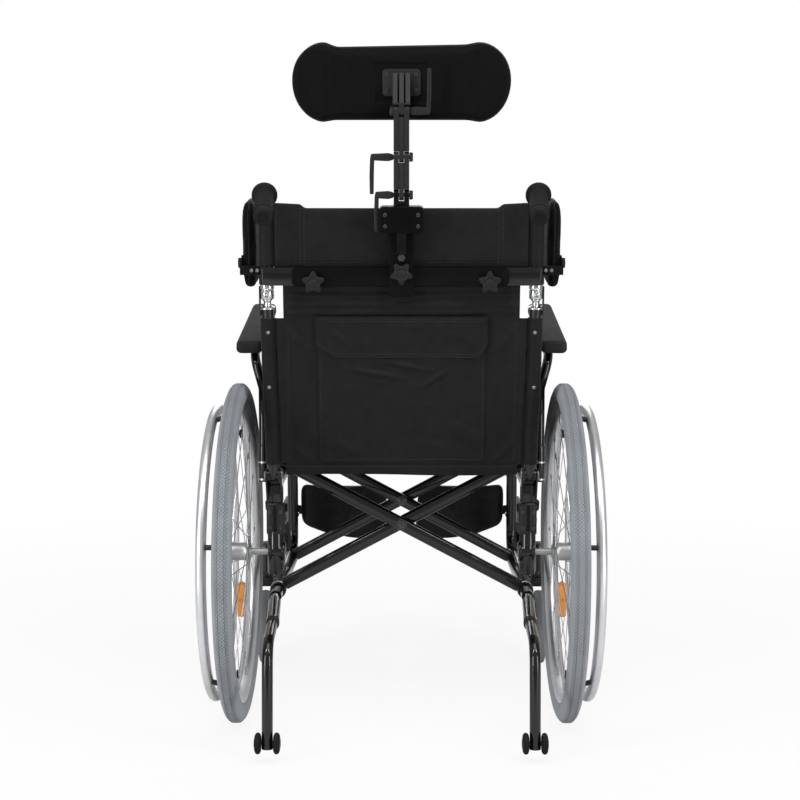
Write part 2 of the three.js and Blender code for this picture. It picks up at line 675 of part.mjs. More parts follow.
function foldKnuckle() {
  const { washer, washerThick, neck, head, tall, neckTall, pinY } = knuckle;
  const start = cane.top + touch;
  const top = knuckleTop;
  const headLow = start + neckTall;
  const pinZ = top;
  const turnedPart = turned(
    [[0, 0], [washer, 0], [washer, washerThick], [neck * 1.3, washerThick * 1.8], [neck, neckTall / 2],
      [neck, neckTall * 0.8], [head, neckTall + washerThick], [head, tall], [0, tall]],
    10, alongZ, [cane.highX, 0, start],
  );
  const tab = hull(
    circle(ear.radius, 8, pinY, pinZ),
    rectangle(neck / 2, neck, headLow + washerThick, top),
  );
  const body = join(turnedPart, plateX(tab, cane.highX - ear.half, cane.highX + ear.half));
  const pinHalf = ear.half + touch + ear.wing;
  const clear = plateZ(circle(head * 2, 8, cane.highX, 0), top, top + head * 2);
  const pin = pipe([[cane.highX - pinHalf, pinY, pinZ], [cane.highX + pinHalf, pinY, pinZ]], ear.pin, { sides: 8 });
  return join(cut(body, clear), plateX(circle(ear.radius, 8, pinY, pinZ), cane.highX - ear.half, cane.highX + ear.half), pin);
}

// The side knobs clamp low on the bar and the middle one high.
const knobZ = bar.z - knob.drop;
const midKnobZ = bar.z + knob.midRise;

// Push handle tube, with the arm of the bar's clamp and the trunk support's bracket welded on.
function handleTube() {
  const { bendZ, bend, droop } = handle;
  const reach = grip.start + grip.long - grip.cap - touch;
  const x = cane.highX;
  const start = knuckleTop + touch;
  const end = [x, reach * Math.cos(droop * turn), bendZ - reach * Math.sin(droop * turn)];
  const tube = pipe([[x, 0, start], [x, 0, bendZ], end], cane.radius, { bend });
  const { pinY } = knuckle;
  const pinZ = knuckleTop;
  const wingOutline = hull(
    circle(ear.radius, 8, pinY, pinZ),
    rectangle(cane.radius / 2, cane.radius * 0.8, pinZ + ear.low, pinZ + ear.rise),
  );
  const wings = [-1, 1].map((side) => {
    const [a, b] = [ear.half + touch, ear.half + touch + ear.wing];
    return side < 0 ? plateX(wingOutline, x - b, x - a) : plateX(wingOutline, x + a, x + b);
  });
  const half = bar.tall / 2;
  const ring = pipe([[x, 0, bar.z - half], [x, 0, bar.z + half]], barArm.ring);
  const armY = barArm.ring - weld;
  const strap = plateY(rectangle(bar.inner, x + barArm.ring / 2, bar.z - half, bar.z + half, barArm.thick, 1), armY,
    armY + barArm.thick);
  const { y, thick, low, high, wing, front, rise } = trunkArm;
  const outer = trunk.x + trunk.thick + touch;
  const wingPlate = hull(
    rectangle(y, y + thick, low, high),
    circle(rise, 8, trunk.pivotY, trunk.pivotZ),
    rectangle(front, front + thick, trunk.pivotZ - rise / 2, trunk.pivotZ + rise / 2),
  );
  const cross1 = block(x, outer + wing, y, y + thick, low, high);
  const support = plateX(wingPlate, outer, outer + wing);
  const holes = [
    pipe([[knob.x, armY - overrun, knobZ], [knob.x, armY + barArm.thick + overrun, knobZ]], knob.screw + running),
    pipe([[outer - overrun, trunk.pivotY, trunk.pivotZ], [outer + wing + overrun, trunk.pivotY, trunk.pivotZ]],
      knob.screw + running),
  ];
  const pinHoles = pipe([[x - ear.radius * 2, pinY, pinZ], [x + ear.radius * 2, pinY, pinZ]], ear.pin + running, { sides: 8 });
  return cut(join(tube, ...wings, ring, strap, cross1, support), ...holes, pinHoles);
}

function handGrip() {
  const { start, long, radius, hood, hoodLength, ribs, rib, end, cap } = grip;
  const { bendZ, droop } = handle;
  const aim = [0, Math.cos(droop * turn), -Math.sin(droop * turn)];
  const at = [cane.highX, start * aim[1], bendZ + start * aim[2]];
  const bore = cane.radius + touch * 2;
  const depth = long - cap;
  const rows = [[bore, 0], [hood, 0], [hood, hoodLength * 0.7], [radius, hoodLength]];
  const pitch = (long - hoodLength * 2) / ribs;
  for (let i = 0; i < ribs; i++) {
    const from = hoodLength + pitch * i;
    rows.push([radius, from + pitch * 0.3], [radius + rib, from + pitch * 0.5], [radius + rib, from + pitch * 0.8]);
  }
  rows.push([radius, long - hoodLength], [end, long - hoodLength / 3], [end / 2, long], [0, long]);
  rows.push([0, depth], [bore, depth], [bore, 0]);
  return turned(rows, 10, aim, at);
}

function trunkPad() {
  const { x, thick, rearY, frontY, low, high } = trunk;
  const outline = rectangle(frontY, rearY, low, high, (rearY - frontY) / 3, 2);
  return stuffed(outline, thick / 2, thick / 5, (u, v, w) => [x + thick / 2 + w, u, v]);
}

function trunkPadWithBoss() {
  const { x, thick, pivotY, pivotZ } = trunk;
  const wingOuter = x + thick + touch + trunkArm.wing;
  const screw = pipe([[x + thick / 2, pivotY, pivotZ], [wingOuter + touch + weld, pivotY, pivotZ]], knob.screw);
  const seat = pipe([[x + thick / 2, pivotY, pivotZ], [x + thick, pivotY, pivotZ]], trunkArm.cap);
  const cap = turned(
    [[0, 0], [trunkArm.cap, 0], [trunkArm.cap, trunkArm.capThick / 2], [trunkArm.cap / 2, trunkArm.capThick], [0, trunkArm.capThick]],
    12, alongX, [wingOuter + touch, pivotY, pivotZ],
  );
  return join(trunkPad(), screw, seat, cap);
}

// Bar across the canes: its slot lets the right clamp slide as the chair folds.
const barY = barArm.ring - weld + barArm.thick + touch;

function slot(x0, x1, z, radius) {
  return hull(circle(radius, 8, x0, z), circle(radius, 8, x1, z));
}

function spreaderBar() {
  const half = bar.tall / 2;
  const body = plateY(rectangle(-bar.right, bar.left, bar.z - half, bar.z + half, half / 2, 2), barY, barY + bar.thick);
  const bore = knob.screw + running;
  return cut(
    body,
    plateY(slot(-bar.slotFrom, -bar.slotTo, knobZ, bore), barY - overrun, barY + bar.thick + overrun),
    plateY(circle(bore, 8, knob.x, knobZ), barY - overrun, barY + bar.thick + overrun),
    plateY(circle(bore, 8, 0, midKnobZ), barY - overrun, barY + bar.thick + overrun),
  );
}

function starKnob(x, z, face, screwTo) {
  const { radius, dent, lobes, thick, boss, bossThick, screw } = knob;
  const points = 4 * lobes;
  const star = Array.from({ length: points }, (_, i) => {
    const angle = (2 * Math.PI * i) / points;
    const r = radius - dent + dent * Math.cos(lobes * (angle - Math.PI / 2));
    return new THREE.Vector2(x + r * Math.cos(angle), z + r * Math.sin(angle));
  });
  const seat = face + touch;
  return join(
    pipe([[x, screwTo, z], [x, seat + bossThick, z]], screw),
    pipe([[x, seat, z], [x, seat + bossThick + weld, z]], boss),
    plateY(star, seat + bossThick, seat + bossThick + thick),
    pipe([[x, seat + bossThick + thick - weld, z], [x, seat + bossThick + thick + bossThick / 2, z]], boss * 0.8),
  );
}

const screwTip = barArm.ring - weld - touch;

// Headrest: bracket on the bar, sliding post, two links and the plate behind the pad.
const restY = barY + bar.thick + touch;

function restBracket() {
  const { plateHalf, plate: thick, low, high, blockTall, blockHalf, blockDeep, nutZ, nut } = rest;
  const blockLow = high - blockTall;
  const strip = plateY(rectangle(-plateHalf, plateHalf, low, high), restY, restY + thick);
  const body = plateY(rectangle(-blockHalf, blockHalf, blockLow, high, thick * 2, 2), restY, restY + blockDeep);
  const screws = [-1, 1].flatMap((side) =>
    [0.3, 0.7].map((share) => {
      const [x, z] = [side * (blockHalf - thick * 2), blockLow + (high - blockLow) * share];
      return pipe([[x, restY + blockDeep - weld, z], [x, restY + blockDeep + thick / 2, z]], thick, { sides: 6 });
    }),
  );
  const hex = pipe([[0, restY + thick - weld, nutZ], [0, restY + thick * 2, nutZ]], nut, { sides: 6 });
  const hole = post.half + post.slack;
  return cut(
    join(strip, body, ...screws, hex),
    block(-hole, hole, post.y - hole, post.y + hole, blockLow - overrun, high + overrun),
    plateY(circle(knob.screw + running, 8, 0, midKnobZ), restY - overrun, restY + thick + overrun),
  );
}

// A link end with two outer tines, and one with a single tongue between them.
function tines(z, from, base) {
  const outline = hull(circle(link.radius, 8, post.y, z), rectangle(post.y - base, post.y + base, from, from + weld));
  const inner = link.tongue + touch;
  return [plateX(outline, -link.half, -inner), plateX(outline, inner, link.half)];
}

function tongue(z, to) {
  const outline = hull(
    circle(link.radius, 8, post.y, z),
    rectangle(post.y - post.half, post.y + post.half, to - weld, to),
  );
  return plateX(outline, -link.tongue, link.tongue);
}

function linkBores(...heights) {
  return heights.map((z) => pipe([[-link.half * 2, post.y, z], [link.half * 2, post.y, z]], link.pin + running));
}

const room = link.radius + running * 2;

function restPost() {
  const shoulder = link.lowZ - room;
  return cut(
    join(
      block(-post.half, post.half, post.y - post.half, post.y + post.half, post.low, shoulder),
      block(-link.half, link.half, post.y - post.half, post.y + post.half, shoulder - post.half, shoulder),
      ...tines(link.lowZ, shoulder - weld, post.half),
    ),
    ...linkBores(link.lowZ),
  );
}

function restLink(low, high) {
  const [a, b] = [low + room, high - room];
  return cut(
    join(
      tongue(low, a + weld),
      block(-link.half, link.half, post.y - post.half, post.y + post.half, a, b),
      ...tines(high, b - weld, post.half),
    ),
    ...linkBores(low, high),
  );
}

function restHead() {
  const { gap, tall, half, thick, corner, y, ribDrop, screw } = headPlate;
  const start = link.topZ + room;
  const [low, high] = [start + gap, start + gap + tall];
  const rise = high - ribDrop;
  const rib = (x0, x1) =>
    plateX(
      hull(rectangle(post.y - post.half, post.y + post.half, start, start + weld), rectangle(y, y + thick, start, rise)),
      x0, x1,
    );
  const third = (2 * link.half) / 5;
  const ribs = [0, 2, 4].map((k) => rib(-link.half + third * k, -link.half + third * (k + 1)));
  const spots = [-1, 1].flatMap((side) => [0.22, 0.78].map((share) => [side * (half - corner), low + (high - low) * share]));
  const screws = spots.map(([x, z]) => pipe([[x, y + thick - weld, z], [x, y + thick + weld * 2, z]], screw, { sides: 6 }));
  return cut(
    join(
      tongue(link.topZ, start + weld),
      block(-link.half, link.half, post.y - post.half, post.y + post.half, start, start + weld * 3),
      ...ribs,
      plateY(rectangle(-half, half, low, high, corner, 2), y, y + thick),
      ...screws,
    ),
    ...linkBores(link.topZ),
  );
}

// A quick-release lever: its shaft is the link's pin, with a nut on the far end and an L-shaped handle.
function camLever(z, reach, rise, side) {
  const { wire, nut, nutThick, paddle } = lever;
  const far = link.half + touch;
  const end = z + rise;
  const grow = Math.sign(rise);
  const [x0, x1] = [side * (reach - paddle), side * (reach + paddle)];
  const [z0, z1] = [Math.min(z + grow * wire * 3, end), Math.max(z + grow * wire * 3, end)];
  return join(
    pipe([[-side * (far + nutThick), post.y, z], [side * reach, post.y, z], [side * reach, post.y, z + rise / 2]], wire,
      { bend: wire * 2, steps: 2, sides: 6 }),
    pipe([[-side * (far + nutThick), post.y, z], [-side * far, post.y, z]], nut, { sides: 6 }),
    pipe([[side * far, post.y, z], [side * (far + nutThick), post.y, z]], nut),
    plateY(rectangle(Math.min(x0, x1), Math.max(x0, x1), z0, z1, paddle / 2, 1), post.y - wire, post.y + wire),
  );
}

// Headrest pad: a pill with wings that come forward round the head.
function restPad() {
  const { half, low, high, thick, wing, wingFrom, hump } = headPad;
  const humpShare = 0.8;
  const backY = headPlate.y - touch;
  const radius = (high - low) / 2;
  const centre = (low + high) / 2;
  const outline = hull(circle(radius, 18, half - radius, centre), circle(radius, 18, radius - half, centre));
  const filled = [];
  outline.forEach((p, i) => {
    const q = outline[(i + 1) % outline.length];
    const parts = Math.max(1, Math.round((p.distanceTo(q) / radius) * 1.6));
    for (let k = 0; k < parts; k++) filled.push(p.clone().lerp(q, k / parts));
  });
  const place = (u, v, w) => {
    const share = Math.max(0, (Math.abs(u) / half - wingFrom) / (1 - wingFrom));
    const upper = Math.max(0, (v - centre) / radius);
    const sink = hump * upper * Math.max(0, 1 - (u / (half * humpShare)) ** 2);
    return [u, backY - thick / 2 - wing * share ** 1.5 + w, v - sink];
  };
  return stuffed(filled, thick / 2, thick / 4, place);
}

// Cloth of the back: a sheet with a pocket and its flap, and a sleeve round each cane.
function backSheet() {
  const { thick, low, high, half, sleeveLow, sleeveTop, sleeveWall } = backCloth;
  const { half: wide, low: bottom, high: top, raise, flapDrop, flapRaise, step } = pocket;
  const xs = [-half, -wide - step, -wide, ...steps(-wide * 0.4, wide * 0.4, 1), wide, wide + step, half];
  const folds = steps(fold.top - fold.apart * fold.count, fold.top, fold.count * 4).filter((_, i) => i % 4 < 3);
  const zs = [low, bottom - step, bottom, ...steps(bottom + flapDrop, top - flapDrop * 2, 2),
    top - flapDrop - step, top - flapDrop, top - step, top, ...folds.slice(1), high];
  const within = (v, a, b, soft) => Math.min(1, Math.max(0, Math.min(v - a, b - v) / soft));
  const relief = (x, z) => {
    const across = within(x, -wide - step, wide + step, step);
    const body = raise * across * within(z, bottom - step, top, step);
    const flap = flapRaise * across * within(z, top - flapDrop - step, top + step, step);
    const wrinkle = fold.height * Math.max(0, Math.sin(((z - fold.top) * 2 * Math.PI) / fold.apart));
    const folded = z > top + step && z < fold.top ? wrinkle * within(x, -half, half, half / 4) : 0;
    return body + flap + folded;
  };
  const cloth = sheet(xs, zs, (x, z) => [x, 0, z], (x, z) => [x, thick + relief(x, z), z]);
  const bore = cane.radius + touch * 2;
  const sleeves = [-1, 1].map((side) => {
    const spot = (z) => [side * caneAt(z), 0, z];
    const tube = pipe([spot(sleeveLow), spot(cane.splay), spot(sleeveTop)], bore + sleeveWall,
      { bend: cane.radius, steps: 1 });
    const web = block(Math.min(side * (half - weld), side * (caneAt(0) - cane.radius)), Math.max(side * (half - weld),
      side * (caneAt(0) - cane.radius)), 0, thick, sleeveLow, sleeveTop);
    return [tube, web];
  });
  const cutters = [-1, 1].map((side) =>
    pipe([[side * cane.lowX, 0, 0], [side * cane.highX, 0, cane.splay], [side * cane.highX, 0, high]], bore,
      { bend: cane.radius, steps: 1 }),
  );
  return cut(join(cloth, ...sleeves.flat()), ...cutters);
}

function upperPanel() {
  const { low, high, thick, edge, corner, y, dip } = topPanel;
  const half = cane.highX - across(cane.radius) - touch;
  const outline = rectangle(-half, half, low, high, corner, 2);
  const filled = [];
  outline.forEach((p, i) => {
    const q = outline[(i + 1) % outline.length];
    const parts = Math.max(1, Math.round(p.distanceTo(q) / (half / 3)));
    for (let k = 0; k < parts; k++) filled.push(p.clone().lerp(q, k / parts));
  });
  const sink = (u, v) => (dip * Math.max(0, 1 - (u / half) ** 2) * (v - low)) / (high - low);
  return stuffed(filled, thick / 2, edge, (u, v, w) => [u, y + w, v - sink(u, v)], [0.6, 0.9, 1]);
}

// Armrest
const armTop = socket.z + socket.height + arm.height;

function armPath() {
  const { tube, rise, topX, bend, shoulderDrop } = arm;
  const bendZ = armTop;
  const shoulder = armTop - shoulderDrop;
  const { x, rearY, frontY, z, height, frontHeight } = socket;
  return pipe(
    [
      [x, rearY, z + height + touch],
      [x, rearY, shoulder],
      [topX, rearY, bendZ - armPad.thick / 2 - tube],
      [topX, frontY, bendZ + rise - armPad.thick / 2 - tube],
      [x, frontY, shoulder],
      [x, frontY, z + frontHeight + touch],
    ],
    tube, { bend, steps: 3 },
  );
}

function armFrame() {
  const { post: radius, insert } = arm;
  const { x, rearY, frontY, z, height, frontHeight } = socket;
  const inserts = [[rearY, z + height], [frontY, z + frontHeight]].map(([y, top]) =>
    pipe([[x, y, top - insert * 0.75], [x, y, top + touch + weld]], radius),
  );
  return join(armPath(), ...inserts);
}

const armSlope = Math.atan2(arm.rise, socket.rearY - socket.frontY);

function armCushion() {
  const { width, x, thick, rearY, frontY, corner } = armPad;
  const outline = rectangle(frontY, rearY, x - width / 2, x + width / 2, corner, 2);
  const filled = [];
  outline.forEach((p, i) => {
    const q = outline[(i + 1) % outline.length];
    const parts = Math.max(1, Math.round(p.distanceTo(q) / (width * 1.5)));
    for (let k = 0; k < parts; k++) filled.push(p.clone().lerp(q, k / parts));
  });
  const place = (u, v, w) => {
    const base = armTop + (socket.rearY - u) * Math.tan(armSlope);
    return [v, u, base + (w < 0 ? Math.max(w, -thick / 2) : w)];
  };
  return stuffed(filled, thick / 2, thick / 2.4, place, [0.6, 0.86, 1]);
}

function sideGuard() {
  const { thick, low, high, corner } = guard;
  const { x, rearY, frontY, radius, z, height, frontHeight } = socket;
  const atSocket = across(radius) + touch;
  const atPost = across(arm.tube) + touch;
  const top = rectangle(frontY + atPost, rearY - atPost, low, high, corner, 2).filter((p) => p.y > z + height);
  const outline = [
    ...top,
    new THREE.Vector2(frontY + atPost, z + frontHeight + touch),
    new THREE.Vector2(frontY + atSocket, z + frontHeight + touch),
    new THREE.Vector2(frontY + atSocket, low),
    new THREE.Vector2(rearY - atSocket, low),
    new THREE.Vector2(rearY - atSocket, z + height + touch),
    new THREE.Vector2(rearY - atPost, z + height + touch),
  ];
  return plateX(outline, x - thick / 2, x + thick / 2);
}

// Wheel lock: one plate with the brake shoe on its short arm and the hand grip on its long arm.
function wheelLock() {
  const { plate: thick, x, reach, angle, shoe, shoeEnd, grip: ball, gripZ, gripY } = lock;
  const [y, z] = [lockY, lockPlate.z];
  const shoeY = y + reach * Math.cos(angle * turn);
  const shoeZ = z + reach * Math.sin(angle * turn);
  const short = hull(circle(lockPlate.radius, 8, y, z), circle(shoe, 8, shoeY, shoeZ));
  const long = hull(circle(lockPlate.radius, 8, y, z), circle(ball * 0.7, 6, y + gripY, z + gripZ - ball));
  return cut(
    join(
      plateX(short, x, x + thick),
      plateX(long, x, x + thick),
      pipe([[x, shoeY, shoeZ], [shoeEnd, shoeY, shoeZ]], shoe),
      turned(
        [[0, -ball * 2], [ball * 0.6, -ball * 2], [ball, 0], [ball, ball], [ball / 2, ball * 1.8], [0, ball * 1.8]],
        8, alongZ, [x + thick / 2, y + gripY, z + gripZ],
      ),
    ),
    pipe([[x - overrun, y, z], [x + thick + overrun, y, z]], recline.pin + running),
  );
}

// Leg rest

function legHanger() {
  const { y, pin, low, shoulder, tube, kneeZ, kneeY, bend } = hanger;
  const x = frame.x;
  return join(
    pipe([[x, y, low], [x, y, shoulder + weld]], pin),
    pipe([[x, y, shoulder], [x, y, kneeZ], [knee.inner + knee.radius / 3, kneeY, kneeZ]], tube, { bend }),
    pipe([[knee.inner, kneeY, kneeZ], [knee.split - touch, kneeY, kneeZ]], knee.radius, { sides: 10 }),
    pipe([[knee.inner, kneeY, kneeZ], [knee.outer + touch + weld, kneeY, kneeZ]], knee.pin),
  );
}

const legWay = [0, -Math.cos(leg.pitch * turn), -Math.sin(leg.pitch * turn)];
const legAt = (d) => [leg.x, hanger.kneeY + legWay[1] * d, hanger.kneeZ + legWay[2] * d];

const footPlace = {
  pinX: leg.x - foot.inset,
  pinZ: legAt(leg.long)[2] - foot.drop,
  rearY: legAt(leg.long)[1] + foot.behind,
  frontY: legAt(leg.long)[1] + foot.behind - foot.long,
};

function legTube() {
  const { tube, slide, long, collar, slideFrom, collarTall } = leg;
  const foot0 = legAt(long);
  const { pin, boss } = foot;
  const { pinX, pinZ, rearY, frontY } = footPlace;
  const body = join(
    pipe([[knee.split, hanger.kneeY, hanger.kneeZ], [knee.outer, hanger.kneeY, hanger.kneeZ]], knee.radius, { sides: 10 }),
    pipe([legAt(0), legAt(slideFrom)], tube),
    pipe([legAt(slideFrom - collarTall), legAt(slideFrom)], collar),
    pipe([legAt(slideFrom - weld), foot0], slide),
    block(pinX - pin, leg.x + slide, foot0[1] - slide, rearY + boss, pinZ - pin, foot0[2] + slide),
    pipe([[pinX, rearY + boss, pinZ], [pinX, frontY - weld, pinZ]], pin, { sides: 10 }),
  );
  const hole = pipe([[knee.split - overrun, hanger.kneeY, hanger.kneeZ], [knee.outer + overrun, hanger.kneeY, hanger.kneeZ]],
    knee.pin + running);
  return cut(body, hole);
}

function footPlate() {
  const { pin, tall, thick, boss } = foot;
  const { pinX, pinZ, frontY } = footPlace;
  const rear = legAt(leg.long)[1] - leg.slide - touch;
  const bore = pin + running;
  const outline = rectangle(frontY, rear, pinZ, pinZ + tall, thick * 3, 2);
  const face = plateX(outline, pinX - thick / 2, pinX + thick / 2);
  const barrel = pipe([[pinX, frontY, pinZ], [pinX, rear, pinZ]], boss, { sides: 12 });
  const ribs = [0.25, 0.5, 0.75].map((share) => {
    const z = pinZ + tall * share;
    return block(pinX - thick, pinX, frontY + thick * 2, rear - thick * 2, z - thick / 4, z + thick / 4);
  });
  return cut(join(face, barrel, ...ribs), pipe([[pinX, frontY - overrun, pinZ], [pinX, rear + overrun, pinZ]], bore));
}

// Calf pad: a bowed cushion on a bar that is clamped round the leg tube.
function calfPad() {
  const { x, half, tall, z, thick, y, bow, clampTall, arm: bar1 } = calf;
  const outline = rectangle(x - half, x + half, z - tall / 2, z + tall / 2, tall / 3, 2);
  const pad = stuffed(outline, thick / 2, thick / 4, (u, v, w) => {
    const share = (u - x) / half;
    return [u, y + w - bow * share * share, v];
  });
  const d = (hanger.kneeZ - z) / -legWay[2];
  const [, tubeY, tubeZ] = legAt(d);
  const ringA = legAt(d - clampTall / 2);
  const ringB = legAt(d + clampTall / 2);
  const shell = pipe([ringA, ringB], leg.tube + running + bar1, { sides: 10 });
  const hole = pipe([legAt(d - clampTall), legAt(d + clampTall)], around(leg.tube + touch / 2, 16), { sides: 16 });
  const carrier = sweep(
    rectangle(-bar1 / 2, bar1 / 2, -clampTall / 2, clampTall / 2),
    [[leg.x - leg.tube - bar1 / 2, tubeY, tubeZ], [leg.x - leg.tube * 3, tubeY + leg.tube * 3, tubeZ],
      [x + half * 0.75, y - bow / 2, z]],
    leg.tube, 3,
  );
  return cut(join(pad, carrier, shell), hole);
}

// Assembly

const named = [];
const left = new THREE.Group();
const right = new THREE.Group();
right.scale.x = -1;
const middle = new THREE.Group();
const backAssembly = () => {
  const group = new THREE.Group();
  group.position.set(0, recline.y, recline.z);
  group.rotation.x = -recline.lean * turn;
  return group;
};
const leftBack = backAssembly();
const rightBack = backAssembly();
const middleBack = backAssembly();
left.add(leftBack);
right.add(rightBack);
middle.add(middleBack);

function add(group, name, body, material) {
  const mesh = new THREE.Mesh(geometryOf(body), material);
  mesh.name = name;
  group.add(mesh);
  named.push(name);
}

function addPair(leftGroup, rightGroup, name, body, material) {
  add(leftGroup, name + "_left", body, material);
  add(rightGroup, name + "_right", body, material);
}

addPair(left, right, "side_frame", sideFrame(), blackPaint);
addPair(left, right, "wheel_rim", wheelRim(), alloy);
addPair(left, right, "tyre", tyreRing(), greyRubber);
addPair(left, right, "handrim", handRing(), alloy);
addPair(left, right, "caster_fork", casterFork(), blackPlastic);
addPair(left, right, "caster_wheel", casterWheel(), greyRubber);
addPair(left, right, "anti_tipper", antiTipper(), blackPaint);
addPair(left, right, "anti_tip_rollers", antiTipRollers(), blackRubber);
addPair(left, right, "armrest_frame", armFrame(), blackPaint);
addPair(left, right, "armrest_pad", armCushion(), softPlastic);
addPair(left, right, "side_guard", sideGuard(), blackPlastic);
addPair(left, right, "wheel_lock", wheelLock(), blackPaint);
addPair(left, right, "legrest_hanger", legHanger(), blackPaint);
addPair(left, right, "leg_tube", legTube(), blackPaint);
addPair(left, right, "calf_pad", calfPad(), blackPlastic);
addPair(left, right, "footplate", footPlate(), blackPlastic);
addPair(leftBack, rightBack, "back_cane", caneLower(), blackPaint);
addPair(leftBack, rightBack, "fold_knuckle", foldKnuckle(), chrome);
addPair(leftBack, rightBack, "handle_tube", handleTube(), blackPaint);
addPair(leftBack, rightBack, "hand_grip", handGrip(), blackRubber);
addPair(leftBack, rightBack, "trunk_pad", trunkPadWithBoss(), blackPlastic);
add(middle, "cross_arm_a", crossArmWithHoles(), blackPaint);
add(middle, "cross_arm_b", crossArmWithPins(), blackPaint);
add(middle, "seat_sling", seatSling(), nylon);
add(middleBack, "back_upholstery", backSheet(), nylon);
add(middleBack, "upper_back_panel", upperPanel(), nylon);
add(middleBack, "spreader_bar", spreaderBar(), blackPaint);
add(middleBack, "star_knob_left", starKnob(knob.x, knobZ, barY + bar.thick, screwTip), blackRubber);
add(middleBack, "star_knob_right", starKnob(-knob.x, knobZ, barY + bar.thick, screwTip), blackRubber);
add(middleBack, "star_knob_middle", starKnob(0, midKnobZ, restY + rest.plate, barY), blackRubber);
add(middleBack, "headrest_bracket", restBracket(), blackPaint);
add(middleBack, "headrest_post", restPost(), blackPaint);
add(middleBack, "headrest_link_lower", restLink(link.lowZ, link.midZ), blackPlastic);
add(middleBack, "headrest_link_upper", restLink(link.midZ, link.topZ), blackPlastic);
add(middleBack, "head_plate", restHead(), blackPlastic);
add(middleBack, "headrest_pad", restPad(), nylon);
add(middleBack, "cam_lever_low", camLever(link.lowZ, lever.low, -lever.drop, 1), blackPlastic);
add(middleBack, "cam_lever_mid", camLever(link.midZ, lever.mid, -lever.drop, 1), blackPlastic);
add(middleBack, "cam_lever_top", camLever(link.topZ, lever.top, lever.lift, -1), blackPlastic);

// The origin is on the floor, halfway between the foot plates' front and the tyres' rear.
const model = new THREE.Group();
const chair = new THREE.Group();
chair.position.y = -(footPlace.frontY - weld + tyre.radius) / 2;
chair.add(left, right, middle);
model.add(chair);

export default model;
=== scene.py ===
# %% [markdown]
# # Dressing a folding wheelchair
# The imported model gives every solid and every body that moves. This lesson keeps it as a fixed frame and builds
# the visible skin over it: round tubes where the solids are faceted, cloth where they are slabs, and finishes
# that show paint, chrome, rubber, weave and foam. Sizes below are in millimetres, counted as on the drawing:
# depth from the rear axle, height from the floor, and +x to the sitter's left.

# %% Load the frame
import math

import bpy
from mathutils import Matrix, Vector, noise


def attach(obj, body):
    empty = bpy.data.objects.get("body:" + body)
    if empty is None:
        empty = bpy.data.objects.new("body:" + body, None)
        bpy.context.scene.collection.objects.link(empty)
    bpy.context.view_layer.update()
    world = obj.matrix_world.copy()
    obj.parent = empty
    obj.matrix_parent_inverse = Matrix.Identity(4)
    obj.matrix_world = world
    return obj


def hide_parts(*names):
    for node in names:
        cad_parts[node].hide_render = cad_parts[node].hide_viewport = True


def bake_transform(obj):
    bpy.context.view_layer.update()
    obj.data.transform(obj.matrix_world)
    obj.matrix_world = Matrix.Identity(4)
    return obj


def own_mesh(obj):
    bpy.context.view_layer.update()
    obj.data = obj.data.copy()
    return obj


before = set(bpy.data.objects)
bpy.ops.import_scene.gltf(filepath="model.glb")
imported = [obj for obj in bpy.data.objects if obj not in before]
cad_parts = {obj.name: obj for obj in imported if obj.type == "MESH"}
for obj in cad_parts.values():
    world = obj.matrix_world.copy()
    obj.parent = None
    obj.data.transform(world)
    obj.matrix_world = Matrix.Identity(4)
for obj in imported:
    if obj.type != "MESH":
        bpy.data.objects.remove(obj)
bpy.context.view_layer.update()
bpy.ops.object.select_all(action="DESELECT")

# %% [markdown]
# Two drawing frames are used. CHAIR only moves the rear axle to its place and turns millimetres into metres.
# BACK has its origin at the recline pin and leans with the canes, so the back is drawn upright and flat. The
# main lines of the drawing have names: where the frame's tubes, the canes, the rails and the bar stand.

# %% Drawing frames
CHAIR = Matrix.Translation((0, 0.217015, 0)) @ Matrix.Scale(0.001, 4)
BACK = CHAIR @ Matrix.Translation((0, 24, 448)) @ Matrix.Rotation(math.radians(-8.1), 4, "X")
IN_PLACE = Matrix.Identity(4)
MIRROR = Matrix.Scale(-1, 4, (1, 0, 0))
AXES = {"X": (1, 0, 0), "Y": (0, 1, 0), "Z": (0, 0, 1)}
ONTO = {
    "X": Matrix(((0, 0, 1, 0), (1, 0, 0, 0), (0, 1, 0, 0), (0, 0, 0, 1))),
    "Y": Matrix(((1, 0, 0, 0), (0, 0, -1, 0), (0, 1, 0, 0), (0, 0, 0, 1))),
    "Z": IN_PLACE,
}
FRAME_X, CANE_X = 228, 234
LOW_RAIL, HIGH_RAIL, SEAT_RAIL = 225, 425, 467
BAR_LOW, BAR_HIGH, CLAMP_Z = 345, 377, 352.5
LEG_LEAN = math.radians(66)
print("recline pin at", tuple(round(v, 4) for v in BACK.translation))

# %% [markdown]
# ## The tools of the bench
# Most of this object is bent tube, turned parts and flat plates with rounded rims. Each kind gets one small
# helper that starts from a primitive and shapes it with edit operators, so that the rest of the lesson reads
# like a list of parts.

# %% Selecting and tidying
def alone(piece):
    """Selects one object only and makes it active."""
    for other in bpy.context.selected_objects:
        other.select_set(False)
    piece.select_set(True)
    bpy.context.view_layer.objects.active = piece
    return piece


def edited(piece, *steps):
    """Runs edit operators one after another, each on the whole mesh."""
    alone(piece)
    bpy.ops.object.mode_set(mode="EDIT")
    for operator, settings in steps:
        bpy.ops.mesh.select_all(action="SELECT")
        operator(**settings)
    bpy.ops.object.mode_set(mode="OBJECT")
    return piece


def tidy(piece):
    """Merges doubled points, drops loose edges and turns the faces outwards."""
    return edited(piece, (bpy.ops.mesh.remove_doubles, {"threshold": 0.0005}), (bpy.ops.mesh.delete_loose, {}),
                  (bpy.ops.mesh.normals_make_consistent, {"inside": False}))


